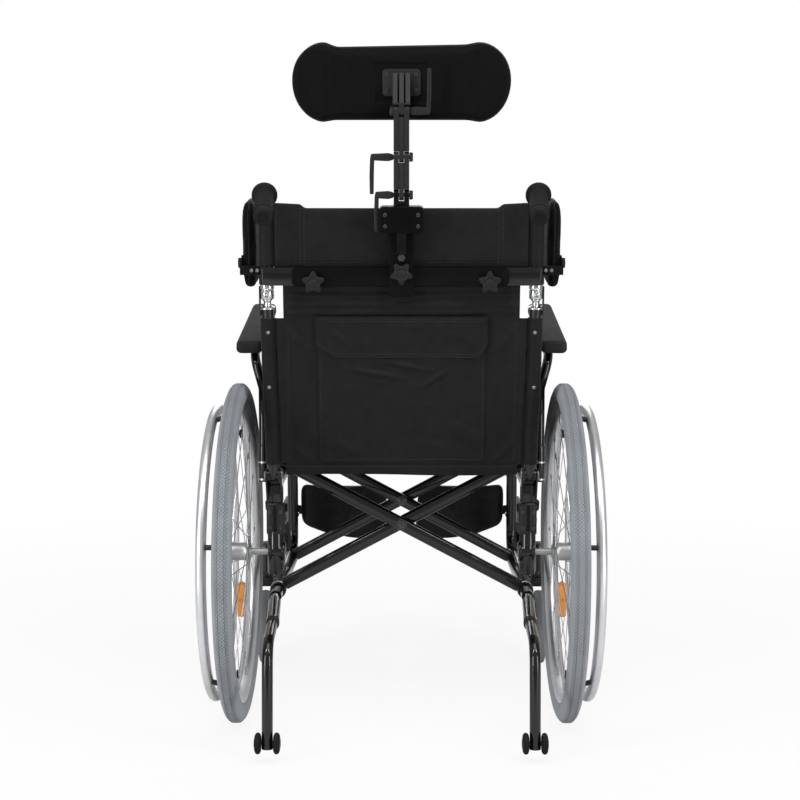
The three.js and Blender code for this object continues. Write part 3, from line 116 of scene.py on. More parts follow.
def finished(piece, kind, **settings):
    """Adds a modifier, sets it and applies it."""
    alone(piece)
    modifier = piece.modifiers.new(kind.title(), kind)
    for key, value in settings.items():
        setattr(modifier, key, value)
    bpy.ops.object.modifier_apply(modifier=modifier.name)
    return piece


def rims(piece, width, segments=2):
    """Rounds the sharp rims of a plate or block."""
    return finished(piece, "BEVEL", width=width, segments=segments, limit_method="ANGLE",
                    angle_limit=math.radians(50), use_clamp_overlap=True)


def joined(*pieces):
    """Makes one object of several."""
    alone(pieces[0])
    for other in pieces[1:]:
        other.select_set(True)
    bpy.ops.object.join()
    return bpy.context.object


def copy_at(piece, place):
    """A copy with its own mesh, moved by a matrix."""
    other = piece.copy()
    other.data = piece.data.copy()
    other.data.transform(place)
    if place.determinant() < 0:
        other.data.flip_normals()
    bpy.context.collection.objects.link(other)
    return other


def cut(piece, tool):
    """Takes the tool's volume out of the piece."""
    finished(piece, "BOOLEAN", operation="DIFFERENCE", object=tool, solver="EXACT")
    bpy.data.objects.remove(tool)
    return piece


# %% Outlines
def softened(outline, reach, steps=3):
    """A closed outline with its corners rounded, apart from corners on the turning axis."""
    points = [Vector(p) for p in outline]
    smooth = []
    for i, here in enumerate(points):
        to_last, to_next = points[i - 1] - here, points[(i + 1) % len(points)] - here
        step = min(reach, to_last.length * 0.48, to_next.length * 0.48)
        if here.x == 0 or step < 0.05:
            smooth.append(here)
            continue
        a, b = here + to_last.normalized() * step, here + to_next.normalized() * step
        smooth += [a.lerp(here, k / steps).lerp(here.lerp(b, k / steps), k / steps) for k in range(steps + 1)]
    return smooth


def rectangle(x0, x1, y0, y1, corner=0, steps=4):
    """A rectangle with rounded corners, as outline points."""
    outline = [(x1, y1), (x0, y1), (x0, y0), (x1, y0)]
    return softened(outline, corner, steps) if corner else [Vector(p) for p in outline]


def disc(radius, x, y, sides=24):
    """A round outline."""
    return [Vector((x + radius * math.cos(a), y + radius * math.sin(a)))
            for a in (2 * math.pi * i / sides for i in range(sides))]


def wrapped(*outlines):
    """The outline that a tight string would take round several others."""
    points = sorted((tuple(p) for outline in outlines for p in outline))
    def edge(line):
        """One half of the string, from the first point to the last."""
        kept = []
        for p in line:
            while len(kept) > 1 and ((kept[-1][0] - kept[-2][0]) * (p[1] - kept[-2][1])
                                     - (kept[-1][1] - kept[-2][1]) * (p[0] - kept[-2][0])) <= 1e-6:
                kept.pop()
            kept.append(p)
        return kept[:-1]
    return [Vector(p) for p in edge(points) + edge(points[::-1])]


def route(corners, bend, steps):
    """A path of straight runs whose inner corners are rounded to one radius."""
    points = [Vector(c) for c in corners]
    way = [points[0]]
    for before, here, after in zip(points, points[1:], points[2:]):
        into, out = (here - before).normalized(), (after - here).normalized()
        angle = into.angle(out)
        if bend and angle > 0.02:
            start = here - into * bend * math.tan(angle / 2)
            inward = (out - into * math.cos(angle)).normalized()
            way += [start + into * bend * math.sin(angle * k / steps)
                    + inward * bend * (1 - math.cos(angle * k / steps)) for k in range(steps + 1)]
        else:
            way.append(here)
    return way + [points[-1]]


# %% Tubes, turned parts, plates and blocks
def rods(ways, radius, sides, closed=False):
    """One mesh of round rods, one along each list of points."""
    bpy.ops.object.add(type="CURVE")
    piece = alone(bpy.context.object)
    piece.data.dimensions = "3D"
    piece.data.bevel_depth = radius
    piece.data.bevel_resolution = (sides - 4) // 2
    piece.data.use_fill_caps = True
    for way in ways:
        spline = piece.data.splines.new("POLY")
        spline.points.add(len(way) - 1)
        spline.use_cyclic_u = closed
        for point, place in zip(spline.points, way):
            point.co = (*place, 1)
    bpy.ops.object.convert(target="MESH")
    return tidy(bpy.context.object)


def tube(corners, radius, bend=0, sides=24, steps=8):
    """One bent tube through the given corners."""
    return rods([route(corners, bend, steps)], radius, sides)


def turned(profile, axis, at, sides, soft=0):
    """Spins a closed profile of (radius, height) points about an axis, a letter or a direction."""
    outline = softened(profile, soft) if soft else [Vector(p) for p in profile]
    bpy.ops.mesh.primitive_circle_add(vertices=len(outline), radius=1)
    piece = alone(bpy.context.object)
    for vertex, (r, h) in zip(piece.data.vertices, outline):
        vertex.co = (r, 0, h)
    edited(piece, (bpy.ops.mesh.spin, {"steps": sides, "angle": 2 * math.pi, "center": (0, 0, 0), "axis": (0, 0, 1)}))
    tidy(piece)
    along = Vector(AXES[axis] if isinstance(axis, str) else axis)
    aim = Vector((0, 0, 1)).rotation_difference(along).to_matrix().to_4x4()
    piece.data.transform(Matrix.Translation(at) @ aim)
    return piece


def ring(inner, outer, low, high, axis, at, sides, soft=0):
    """A turned washer or short sleeve."""
    return turned([(inner, low), (outer, low), (outer, high), (inner, high)], axis, at, sides, soft)


def peg(radius, low, high, axis, at, sides, soft=0):
    """A turned round bar."""
    return ring(0, radius, low, high, axis, at, sides, soft)


def drilled(piece, radius, start, end):
    """Takes a round hole out of the piece, from one point to another."""
    return cut(piece, tube([start, end], radius, sides=20))


def plate(outline, low, high, facing, edge, segments=2):
    """A flat outline made thick along one axis, with rounded rims."""
    bpy.ops.mesh.primitive_circle_add(vertices=len(outline), radius=1, fill_type="NGON")
    piece = alone(bpy.context.object)
    for vertex, (u, v) in zip(piece.data.vertices, outline):
        vertex.co = (u, v, 0)
    edited(piece, (bpy.ops.mesh.extrude_region_move, {"TRANSFORM_OT_translate": {"value": (0, 0, high - low)}}))
    tidy(piece)
    shift = {"X": (low, 0, 0), "Y": (0, high, 0), "Z": (0, 0, low)}[facing]
    piece.data.transform(Matrix.Translation(shift) @ ONTO[facing])
    return rims(piece, edge, segments) if edge else piece


def block(x0, x1, y0, y1, z0, z1, edge):
    """A box with rounded rims."""
    bpy.ops.mesh.primitive_cube_add(size=1)
    piece = alone(bpy.context.object)
    size = Matrix.Diagonal((x1 - x0, y1 - y0, z1 - z0, 1))
    piece.data.transform(Matrix.Translation(((x0 + x1) / 2, (y0 + y1) / 2, (z0 + z1) / 2)) @ size)
    return rims(piece, edge) if edge else piece


def screw(at, axis, radius, tall):
    """A cap screw: a domed head with a socket in it."""
    return turned([(0, tall * 0.4), (radius * 0.45, tall * 0.4), (radius * 0.5, tall), (radius * 0.8, tall),
                   (radius, tall * 0.6), (radius, 0), (0, 0)], axis, at, 18)


# %% Putting a piece in its place
made, slots = [], {}
OF_THE_BACK = ("lower_back", "upper_back", "trunk", "headrest", "knob", "cam")


def settle(piece, name, finish, body, stands_for=(), place=None, angle=38, both=None):
    """Names a piece, moves it to its place and lets it ride on its body. A piece of the left side gets a
    mirrored copy on the right. The place and the slot follow from the body and the finish, unless given."""
    both = name.endswith("_left") if both is None else both
    if place is None:
        place = BACK if body.startswith(OF_THE_BACK) else CHAIR
    alone(piece)
    piece.data.transform(place)
    bpy.ops.object.shade_smooth_by_angle(angle=math.radians(angle))
    piece.data.materials.clear()
    piece.data.materials.append(finish)
    pieces = [(piece, "left")] + ([(copy_at(piece, MIRROR), "right")] if both else [])
    for each, side in pieces:
        side_of = lambda text: text.replace("left", side) if both else text
        each.name = each.data.name = side_of(name)
        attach(each, side_of(body))
        if stands_for:
            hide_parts(*[side_of(node) for node in stands_for])
        made.append(each)
        print(each.name, "rides on", side_of(body), "with", len(each.data.polygons), "faces")


print("bench ready")

# %% [markdown]
# ## Effects that several finishes share
# Real surfaces are never one flat value: moulded plastic has a leathery grain, paint has faint smears where
# hands touch it, rims wear bright and dust settles on faces that look up. Each effect is a node group with
# named inputs, so that every finish can use it at its own scale and strength.

# %% A helper for node groups
def effect(name, inputs, outputs):
    """An empty shader group with sockets, and its two end nodes."""
    group = bpy.data.node_groups.new(name, "ShaderNodeTree")
    for label, kind, value in inputs:
        socket = group.interface.new_socket(label, in_out="INPUT", socket_type="NodeSocket" + kind)
        if value is not None:
            socket.default_value = value
    for label, kind in outputs:
        group.interface.new_socket(label, in_out="OUTPUT", socket_type="NodeSocket" + kind)
    print("effect", name, "gives", [label for label, _ in outputs])
    return group, group.nodes.new("NodeGroupInput"), group.nodes.new("NodeGroupOutput")


def maths(tree, operation, first, second=None, clamp=False):
    """A Math node fed by sockets or numbers."""
    node = tree.nodes.new("ShaderNodeMath")
    node.operation = operation
    node.use_clamp = clamp
    for socket, value in zip(node.inputs, (first, second)):
        if value is None:
            continue
        if isinstance(value, (int, float)):
            socket.default_value = value
        else:
            tree.links.new(value, socket)
    return node.outputs[0]


def mixed(tree, factor, first, second):
    """A colour mix fed by sockets or colours."""
    node = tree.nodes.new("ShaderNodeMix")
    node.data_type = "RGBA"
    for socket, value in zip((node.inputs[0], node.inputs[6], node.inputs[7]), (factor, first, second)):
        if isinstance(value, (int, float)):
            socket.default_value = value
        elif isinstance(value, tuple):
            socket.default_value = (*value, 1)
        else:
            tree.links.new(value, socket)
    return node.outputs[2]


def noisy(tree, vector, scale, detail, rough=0.55):
    """A noise texture's value."""
    node = tree.nodes.new("ShaderNodeTexNoise")
    node.inputs["Detail"].default_value = detail
    node.inputs["Roughness"].default_value = rough
    tree.links.new(vector, node.inputs["Vector"])
    node.inputs["Scale"].default_value = scale
    return node.outputs["Fac"]


# %% Handled: smears, worn rims and settled dust
handled, start, end = effect("Handled surface", [("Vector", "Vector", None),
                                                 ("Colour", "Color", (0.02, 0.02, 0.02, 1)),
                                                 ("Worn colour", "Color", (0.2, 0.2, 0.2, 1)),
                                                 ("Roughness", "Float", 0.3), ("Smears", "Float", 0.1),
                                                 ("Wear", "Float", 0.3), ("Dust", "Float", 0.05)],
                             [("Colour", "Color"), ("Roughness", "Float")])
smear = noisy(handled, start.outputs["Vector"], 14, 5, 0.6)
patchy = noisy(handled, start.outputs["Vector"], 90, 3)
form = handled.nodes.new("ShaderNodeNewGeometry")
edge = maths(handled, "MULTIPLY", maths(handled, "SUBTRACT", form.outputs["Pointiness"], 0.53, True), 9, True)
edge = maths(handled, "MULTIPLY", maths(handled, "MULTIPLY", edge, patchy), start.outputs["Wear"], True)
facing = handled.nodes.new("ShaderNodeSeparateXYZ")
handled.links.new(form.outputs["Normal"], facing.inputs[0])
up = maths(handled, "POWER", maths(handled, "MAXIMUM", facing.outputs["Z"], 0), 3)
dust = maths(handled, "MULTIPLY", maths(handled, "MULTIPLY", up, patchy), start.outputs["Dust"], True)
shade = maths(handled, "ADD", maths(handled, "MULTIPLY", smear, 0.5), 0.75)
tinted = handled.nodes.new("ShaderNodeVectorMath")
tinted.operation = "SCALE"
handled.links.new(start.outputs["Colour"], tinted.inputs[0])
handled.links.new(shade, tinted.inputs["Scale"])
worn = mixed(handled, edge, tinted.outputs[0], start.outputs["Worn colour"])
handled.links.new(mixed(handled, dust, worn, (0.4, 0.38, 0.36)), end.inputs["Colour"])
rough = maths(handled, "ADD", start.outputs["Roughness"],
              maths(handled, "MULTIPLY", maths(handled, "SUBTRACT", smear, 0.5), start.outputs["Smears"]))
handled.links.new(maths(handled, "ADD", rough, maths(handled, "MULTIPLY", dust, 0.5), True), end.inputs["Roughness"])

# %% Grain: the leathery skin of moulded plastic and rubber
grain, start, end = effect("Moulded grain", [("Vector", "Vector", None), ("Scale", "Float", 900.0)],
                           [("Height", "Float"), ("Shade", "Float")])
cells = grain.nodes.new("ShaderNodeTexVoronoi")
cells.feature = "SMOOTH_F1"
grain.links.new(start.outputs["Vector"], cells.inputs["Vector"])
grain.links.new(start.outputs["Scale"], cells.inputs["Scale"])
cloudy = noisy(grain, start.outputs["Vector"], 35, 4)
grain.links.new(cells.outputs["Distance"], end.inputs["Height"])
grain.links.new(cloudy, end.inputs["Shade"])

# %% Weave: threads that pass over and under each other
weave, start, end = effect("Weave", [("Vector", "Vector", None), ("Threads", "Float", 900.0)],
                           [("Height", "Float"), ("Shade", "Float")])
parts = weave.nodes.new("ShaderNodeSeparateXYZ")
weave.links.new(start.outputs["Vector"], parts.inputs[0])
along, over = (maths(weave, "MULTIPLY", parts.outputs[axis], start.outputs["Threads"]) for axis in ("X", "Y"))
sine_a, sine_b = (maths(weave, "SINE", maths(weave, "MULTIPLY", v, math.pi)) for v in (along, over))
crossing = maths(weave, "MULTIPLY", sine_a, sine_b)
warp = maths(weave, "GREATER_THAN", crossing, 0)
round_a, round_b = (maths(weave, "ABSOLUTE", s) for s in (sine_a, sine_b))
one = maths(weave, "MULTIPLY", warp, round_a)
other = maths(weave, "MULTIPLY", maths(weave, "SUBTRACT", 1, warp), round_b)
weave.links.new(maths(weave, "ADD", one, other), end.inputs["Height"])
fuzzy = noisy(weave, start.outputs["Vector"], 60, 5, 0.65)
weave.links.new(fuzzy, end.inputs["Shade"])

# %% Tread: small raised diamonds
# Its Groove output is 1 in the grooves between the diamonds; the tyre uses it to paint shade into them.
tread, start, end = effect("Diamond tread", [("Vector", "Vector", None), ("Pitch", "Float", 7.0),
                                             ("Half width", "Float", 9.0)],
                           [("Height", "Float"), ("Groove", "Float")])
parts = tread.nodes.new("ShaderNodeSeparateXYZ")
tread.links.new(start.outputs["Vector"], parts.inputs[0])
across, around = parts.outputs["X"], parts.outputs["Y"]
turns = maths(tread, "DIVIDE", math.pi, start.outputs["Pitch"])
slopes = [maths(tread, "ABSOLUTE", maths(tread, "SINE", maths(tread, "MULTIPLY", v, turns)))
          for v in (maths(tread, "ADD", across, around), maths(tread, "SUBTRACT", across, around))]
lump = maths(tread, "MULTIPLY", maths(tread, "MINIMUM", *slopes), 2.2, True)
band = maths(tread, "LESS_THAN", maths(tread, "ABSOLUTE", across), start.outputs["Half width"])
height = maths(tread, "ADD", maths(tread, "MULTIPLY", lump, band), maths(tread, "SUBTRACT", 1, band))
tread.links.new(height, end.inputs["Height"])
tread.links.new(maths(tread, "SUBTRACT", 1, height), end.inputs["Groove"])

# %% [markdown]
# ## The finishes
# A finish is one material: a Principled shader whose colour and roughness come through the shared effects.
# Values that are the same all over, such as the coat of the paint, stay on the shader's own sockets.

# %% A finish with the shared effects in it
def finish(name, slot, colour, roughness, worn, smears, wear, dust, metallic=0.0, coat=0.0, coat_rough=0.08,
           sheen=0.0, relief=None, scale=900.0, depth=0.02, plane=None, shade=0.0, specular=0.5):
    """A procedural material, with the record's slot that it belongs to. relief is a group that puts out Height
    and Shade."""
    material = bpy.data.materials.new(name)
    material.use_nodes = True
    tree = material.node_tree
    shader = tree.nodes["Principled BSDF"]
    shader.inputs["Metallic"].default_value = metallic
    shader.inputs["Coat Weight"].default_value = coat
    shader.inputs["Coat Roughness"].default_value = coat_rough
    shader.inputs["Sheen Weight"].default_value = sheen
    shader.inputs["Sheen Roughness"].default_value = 0.4
    shader.inputs["Specular IOR Level"].default_value = specular
    place = tree.nodes.new("ShaderNodeTexCoord")
    touch = tree.nodes.new("ShaderNodeGroup")
    touch.node_tree = handled
    touch.inputs["Colour"].default_value = (*colour, 1)
    touch.inputs["Worn colour"].default_value = (*((worn,) * 3 if isinstance(worn, float) else worn), 1)
    for label, value in (("Roughness", roughness), ("Smears", smears), ("Wear", wear), ("Dust", dust)):
        touch.inputs[label].default_value = value
    tree.links.new(place.outputs["Object"], touch.inputs["Vector"])
    colour_out = touch.outputs["Colour"]
    if relief:
        vector = place.outputs["Object"]
        if plane:
            turn = tree.nodes.new("ShaderNodeMapping")
            turn.inputs["Rotation"].default_value = plane
            tree.links.new(vector, turn.inputs["Vector"])
            vector = turn.outputs["Vector"]
        surface = tree.nodes.new("ShaderNodeGroup")
        surface.node_tree = relief
        surface.inputs[1].default_value = scale
        tree.links.new(vector, surface.inputs["Vector"])
        bump = tree.nodes.new("ShaderNodeBump")
        bump.inputs["Strength"].default_value = 0.6
        bump.inputs["Distance"].default_value = depth / 1000
        tree.links.new(surface.outputs["Height"], bump.inputs["Height"])
        tree.links.new(bump.outputs["Normal"], shader.inputs["Normal"])
        if shade:
            lift = maths(tree, "MULTIPLY", maths(tree, "SUBTRACT", surface.outputs["Shade"], 0.35, True), shade)
            colour_out = mixed(tree, lift, colour_out, tuple(min(1, 4 * c + 0.01) for c in colour))
    tree.links.new(colour_out, shader.inputs["Base Color"])
    tree.links.new(touch.outputs["Roughness"], shader.inputs["Roughness"])
    slots[name] = slot
    print("finish", name, "in slot", slot)
    return material


# %% Paint and metals
paint = finish("Gloss black paint", "black_frame", (0.0024, 0.0024, 0.0026), 0.24, 0.04, 0.14, 0.2, 0.002, coat=0.7,
               coat_rough=0.05, specular=0.12)
steel_black = finish("Blackened steel", "black_frame", (0.0022, 0.0022, 0.0024), 0.42, 0.06, 0.2, 0.3, 0.002,
                     specular=0.06)
chrome = finish("Chrome", "chrome", (0.56, 0.57, 0.58), 0.2, 0.7, 0.1, 0.0, 0.01, metallic=1.0)
satin = finish("Satin aluminium", "alloy", (0.7, 0.705, 0.72), 0.38, (0.88, 0.88, 0.89), 0.16, 0.3, 0.02, metallic=1.0,
               relief=grain, scale=2600, depth=0.01)
cast = finish("Cast hub metal", "alloy", (0.38, 0.385, 0.39), 0.4, 0.6, 0.15, 0.4, 0.05, metallic=0.9,
              relief=grain, scale=1200, depth=0.03)
wire = finish("Spoke steel", "alloy", (0.55, 0.56, 0.57), 0.25, 0.8, 0.1, 0.1, 0.0, metallic=1.0)
zinc = finish("Zinc fasteners", "chrome", (0.3, 0.3, 0.31), 0.35, 0.6, 0.2, 0.4, 0.03, metallic=1.0)
dark_zinc = finish("Dark fasteners", "chrome", (0.05, 0.05, 0.052), 0.38, 0.3, 0.2, 0.5, 0.03, metallic=0.8)

# %% Plastics, rubbers and foam
plastic = finish("Black moulded plastic", "black_plastic", (0.0085, 0.0085, 0.009), 0.48, 0.04, 0.1, 0.4, 0.05,
                 relief=grain, scale=1100, depth=0.06, specular=0.25)
grey_plastic = finish("Grey moulded plastic", "grey_tyre", (0.16, 0.165, 0.17), 0.5, 0.3, 0.1, 0.3, 0.05,
                      relief=grain, scale=1100, depth=0.05)
rubber = finish("Black grip rubber", "black_rubber", (0.0062, 0.0062, 0.0066), 0.74, 0.05, 0.1, 0.5, 0.06,
                relief=grain, scale=1500, depth=0.08, specular=0.12)
knob_rubber = finish("Soft knob rubber", "black_rubber", (0.0095, 0.0095, 0.0103), 0.64, 0.08, 0.1, 0.7, 0.05,
                     relief=grain, scale=1300, depth=0.05, specular=0.2)
foam = finish("Armrest foam skin", "soft_pad", (0.017, 0.0172, 0.018), 0.86, 0.06, 0.12, 0.2, 0.1, sheen=0.04,
              relief=grain, scale=650, depth=0.14, shade=0.3, specular=0.1)
orange = finish("Amber reflector", "alloy", (0.56, 0.2, 0.018), 0.2, (0.9, 0.5, 0.2), 0.05, 0.1, 0.02, coat=0.8,
                relief=tread, scale=0.003, depth=0.3)
amber = finish("Amber plastic", "alloy", (0.62, 0.16, 0.02), 0.35, (0.8, 0.4, 0.15), 0.05, 0.1, 0.02, coat=0.3)

# %% Cloths: the weave lies in the plane that the cloth hangs in
flat_to_back = (math.radians(90), 0, 0)
nylon = finish("Coated nylon", "nylon", (0.0046, 0.0047, 0.005), 0.6, 0.03, 0.14, 0.0, 0.045, sheen=0.06,
               relief=weave, scale=1100, depth=0.1, plane=flat_to_back, shade=0.35, specular=0.14)
canvas = finish("Seat nylon", "nylon", (0.0046, 0.0047, 0.005), 0.68, 0.03, 0.12, 0.0, 0.1, sheen=0.06,
                relief=weave, scale=800, depth=0.14, shade=0.35, specular=0.14)
jersey = finish("Headrest cloth", "soft_pad", (0.0024, 0.0025, 0.0027), 0.72, 0.03, 0.1, 0.0, 0.008, sheen=0.05,
                relief=weave, scale=1500, depth=0.07, plane=flat_to_back, shade=0.12, specular=0.06)
knit = finish("Calf pad cloth", "soft_pad", (0.0095, 0.0097, 0.0101), 0.7, 0.04, 0.1, 0.0, 0.05, sheen=0.08,
              relief=weave, scale=1000, depth=0.1, plane=flat_to_back, shade=0.5, specular=0.14)
piping = finish("Woven binding", "nylon", (0.011, 0.011, 0.0116), 0.6, 0.05, 0.1, 0.0, 0.04, sheen=0.06,
                relief=weave, scale=1600, depth=0.05, plane=flat_to_back, specular=0.14)
thread = finish("Sewing thread", "nylon", (0.02, 0.02, 0.021), 0.7, 0.1, 0.1, 0.0, 0.0, sheen=0.05)

# %% Tyre: the tread follows the tyre's own map, across and round, in millimetres
tyre_rubber = finish("Grey tyre rubber", "grey_tyre", (0.255, 0.275, 0.3), 0.66, (0.4, 0.42, 0.44), 0.1, 0.2, 0.05)
tree = tyre_rubber.node_tree
shader = tree.nodes["Principled BSDF"]
map_node = tree.nodes.new("ShaderNodeUVMap")
map_node.uv_map = "round"
blocks = tree.nodes.new("ShaderNodeGroup")
blocks.node_tree = tread
blocks.inputs["Pitch"].default_value = 0.0065
blocks.inputs["Half width"].default_value = 0.0105
tree.links.new(map_node.outputs["UV"], blocks.inputs["Vector"])
bump = tree.nodes.new("ShaderNodeBump")
bump.inputs["Distance"].default_value = 0.0012
tree.links.new(blocks.outputs["Height"], bump.inputs["Height"])
tree.links.new(bump.outputs["Normal"], shader.inputs["Normal"])
plain = shader.inputs["Base Color"].links[0].from_socket
# Painted shade: the grooves between the diamonds are mixed towards a dark grey.
tree.links.new(mixed(tree, maths(tree, "MULTIPLY", blocks.outputs["Groove"], 0.55), plain, (0.075, 0.08, 0.088)),
               shader.inputs["Base Color"])

# %% [markdown]
# ## Rear wheels
# The wheel is seen nearly edge-on from behind, so its tyre, rim, hub and thin crossed spokes all show. The tyre
# and rim are turned from their sections. The tyre keeps a map that runs round it, for the diamond tread.

# %% Tyre
AXLE_Z = 305
WHEEL = (293.5, 0, AXLE_Z)
half_section = [(304.9, 0), (304.9, 4.6), (304.0, 5.0), (304.0, 5.9), (304.7, 6.3), (302.8, 9.2), (298.6, 12.8),
                (292.5, 15.4), (285.5, 16.9), (279.5, 16.6), (274.5, 14.2), (271.2, 10.2)]
section = half_section + [(r, -h) for r, h in reversed(half_section[1:])]
tyre = turned(section, "X", WHEEL, sides=144)
round_map = tyre.data.uv_layers.new(name="round")
for face in tyre.data.polygons:
    centre = face.center - Vector(WHEEL)
    middle = math.atan2(centre.z, centre.y)
    for loop in face.loop_indices:
        spot = tyre.data.vertices[tyre.data.loops[loop].vertex_index].co - Vector(WHEEL)
        turn = math.atan2(spot.z, spot.y)
        turn += 2 * math.pi * round((middle - turn) / (2 * math.pi))
        round_map.data[loop].uv = (spot.x / 1000, turn * 0.305)
settle(tyre, "tyre_rubber_left", tyre_rubber, "wheel_left", ["tyre_left"])

# %% Rim, with its valve-side well
bed = [(249, 2.5), (249, -2.5), (253, -7.5), (260, -11), (270.6, -12), (270.6, -10.4), (265, -9.4), (261, -4),
       (261, 4), (265, 9.4), (270.6, 10.4), (270.6, 12), (260, 11), (253, 7.5)]
rim = turned(bed, "X", WHEEL, sides=120, soft=0.9)
settle(rim, "rim_hoop_left", satin, "wheel_left", ["wheel_rim_left"])

# %% Hub: two flanges on a barrel, the quick-release axle on the frame side and its cap outside
barrel = [(0, -66.5), (5, -66.5), (6, -65.5), (6, -22), (13, -20.5), (14.5, -18.6), (24, -18.2), (25, -17.4),
          (25, -15.8), (24, -15), (18, -14.4), (16.6, -12), (16.2, -4), (16.2, 4), (16.6, 12), (18, 14.4), (24, 15),
          (25, 15.8), (25, 17.4), (24, 18.2), (15, 18.8), (12, 20), (11, 21.5), (11, 24), (9.5, 25), (4, 25),
          (3.4, 24.2), (0, 24.2)]
hub = turned(barrel, "X", WHEEL, sides=56)
settle(hub, "hub_barrel_left", cast, "wheel_left")

# %% [markdown]
# Twenty-eight spokes cross over one another between the two flanges and the rim. As thin wires they are rods on
# straight paths, all in one mesh, and a second mesh holds their nipples.

# %% Spokes
SPOKES = 28
spokes, nipples = [], []
for i in range(SPOKES):
    side = 1 if i % 2 else -1
    lean = 1 if (i // 2) % 2 else -1
    far = 2 * math.pi * i / SPOKES
    near = far + lean * math.radians(68)
    spot = lambda r, a, x: Vector((WHEEL[0] + x, r * math.cos(a), WHEEL[2] + r * math.sin(a)))
    start_at, end_at = spot(22, near, side * (16.6 + 0.6 * lean)), spot(251, far, side * 2.4)
    spokes.append([start_at, end_at])
    nipples.append([end_at.lerp(start_at, 0.07), end_at])
settle(rods(spokes, 0.85, sides=8), "spokes_left", wire, "wheel_left")
settle(rods(nipples, 1.7, sides=8), "spoke_nipples_left", zinc, "wheel_left")
print("spokes", len(spokes))

# %% Spoke reflector: a rounded wedge that clips between two spokes
lens = plate(softened([(-8, -32), (8, -32), (10, -2), (13.5, 4), (12, 30), (-12, 30), (-13.5, 4), (-10, -2)], 8, 5),
             -7, 7, "X", 2.4, 3)
lens.data.transform(Matrix.Translation((WHEEL[0] - 2, 0, WHEEL[2] - 88)))
settle(lens, "spoke_reflector_left", orange, "wheel_left")
clips = joined(*[block(-5.5, 1.5, -5, 5, z - 3, z + 3, 1.2) for z in (-29, 29)])
clips.data.transform(Matrix.Translation((WHEEL[0], 0, WHEEL[2] - 88)))
settle(clips, "reflector_clips_left", amber, "wheel_left")

# %% [markdown]
# The handrim is a hoop of satin tube. Six short dark arms hold it to the rim, each with a clamp on its foot.

# %% Handrim
RING = 258.5
hoop = turned([(RING + 9 * math.cos(a), 9 * math.sin(a)) for a in (2 * math.pi * k / 16 for k in range(16))], "X",
              (331, 0, AXLE_Z), sides=120)
arms, clamps = [], []
for k in range(6):
    turn_to = Matrix.Translation(WHEEL) @ Matrix.Rotation(math.radians(60 * k + 12), 4, "X")
    arm = tube([(12.3, 263.5, 0), (22, 263, 0), (36, 259.5, 0)], 4.6, bend=14, sides=14, steps=4)
    arm.data.transform(turn_to)
    arms.append(arm)
    clamp = block(12.2, 17.5, 256.5, 268, -7.5, 7.5, 1.4)
    clamp.data.transform(turn_to)
    clamps.append(clamp)
settle(hoop, "handrim_hoop_left", satin, "wheel_left", ["handrim_left"])
settle(joined(*arms, *clamps), "handrim_clamps_left", plastic, "wheel_left")

# %% [markdown]
# ## Side frames
# Each side is one bent loop of 22 mm tube with an upright column behind, glossy and black. The axle runs in a
# sleeve through the column. A moulded clamp, the back's two ears and the sockets for the armrest sit above it.

# %% Loop and column
loop = tube([(FRAME_X, 15.9, LOW_RAIL), (FRAME_X, -430, LOW_RAIL), (FRAME_X, -430, HIGH_RAIL),
             (FRAME_X, 0, HIGH_RAIL)], 11, bend=45, steps=12)
column = tube([(FRAME_X, 0, 218), (FRAME_X, 0, 440)], 11)
tail_hole = tube([(FRAME_X, 20, LOW_RAIL), (FRAME_X, -30, LOW_RAIL)], 8.8)
side = cut(joined(loop, column), tail_hole)
settle(side, "frame_tubes_left", paint, "left_frame", ["side_frame_left"])

# %% Axle sleeve, upright clamp and gusset
sleeve = turned([(6.7, -17.5), (16.5, -17.5), (18, -16), (18, -13), (15.5, -11.5), (15.5, 8), (18, 9.5), (18, 12),
                 (16.5, 13), (6.7, 13)], "X", (FRAME_X, 0, AXLE_Z), 48, soft=0.6)
column_sleeve = turned([(11.05, -40), (13.2, -40), (14.8, -37), (14.8, 37), (13.2, 40), (11.05, 40)], "Z",
                       (FRAME_X, 0, AXLE_Z), 40)
collar = plate(rectangle(212, 244, -14, 14, 7), 338, 391, "Z", 2.4, 3)
notch = block(224.8, 231.2, 9, 16, 337, 392, 0)
collar = cut(collar, notch)
settle(joined(sleeve, column_sleeve), "axle_sleeve_left", paint, "left_frame")
settle(collar, "upright_clamp_left", plastic, "left_frame")
bolts = [screw((228 + dx, 13.6, z), "Y", 3.6, 2.4) for z in (350, 379) for dx in (-9, 9)]
settle(joined(*bolts), "clamp_bolts_left", dark_zinc, "left_frame")

# %% Ears that hold the recline pin
ear_outline = softened(wrapped(disc(12, 24, 448, 28), rectangle(-11, 11, 396, 446)), 1.2)
ears = [plate(ear_outline, x, x + 3, "X", 0.6) for x in (214.5, 240.5)]
foot = block(216, 242, -11.4, 11.4, 396, 428, 2)
pin_heads = [turned([(0, 0), (7.5, 0), (7.5, 1.4), (5.5, 2.6), (0, 2.6)], (sign, 0, 0), (x, 24, 448), 28)
             for sign, x in ((1, 243.5), (-1, 214.5))]
settle(joined(*ears, foot), "recline_ears_left", paint, "left_frame")
settle(joined(*pin_heads), "recline_pin_heads_left", zinc, "left_frame")

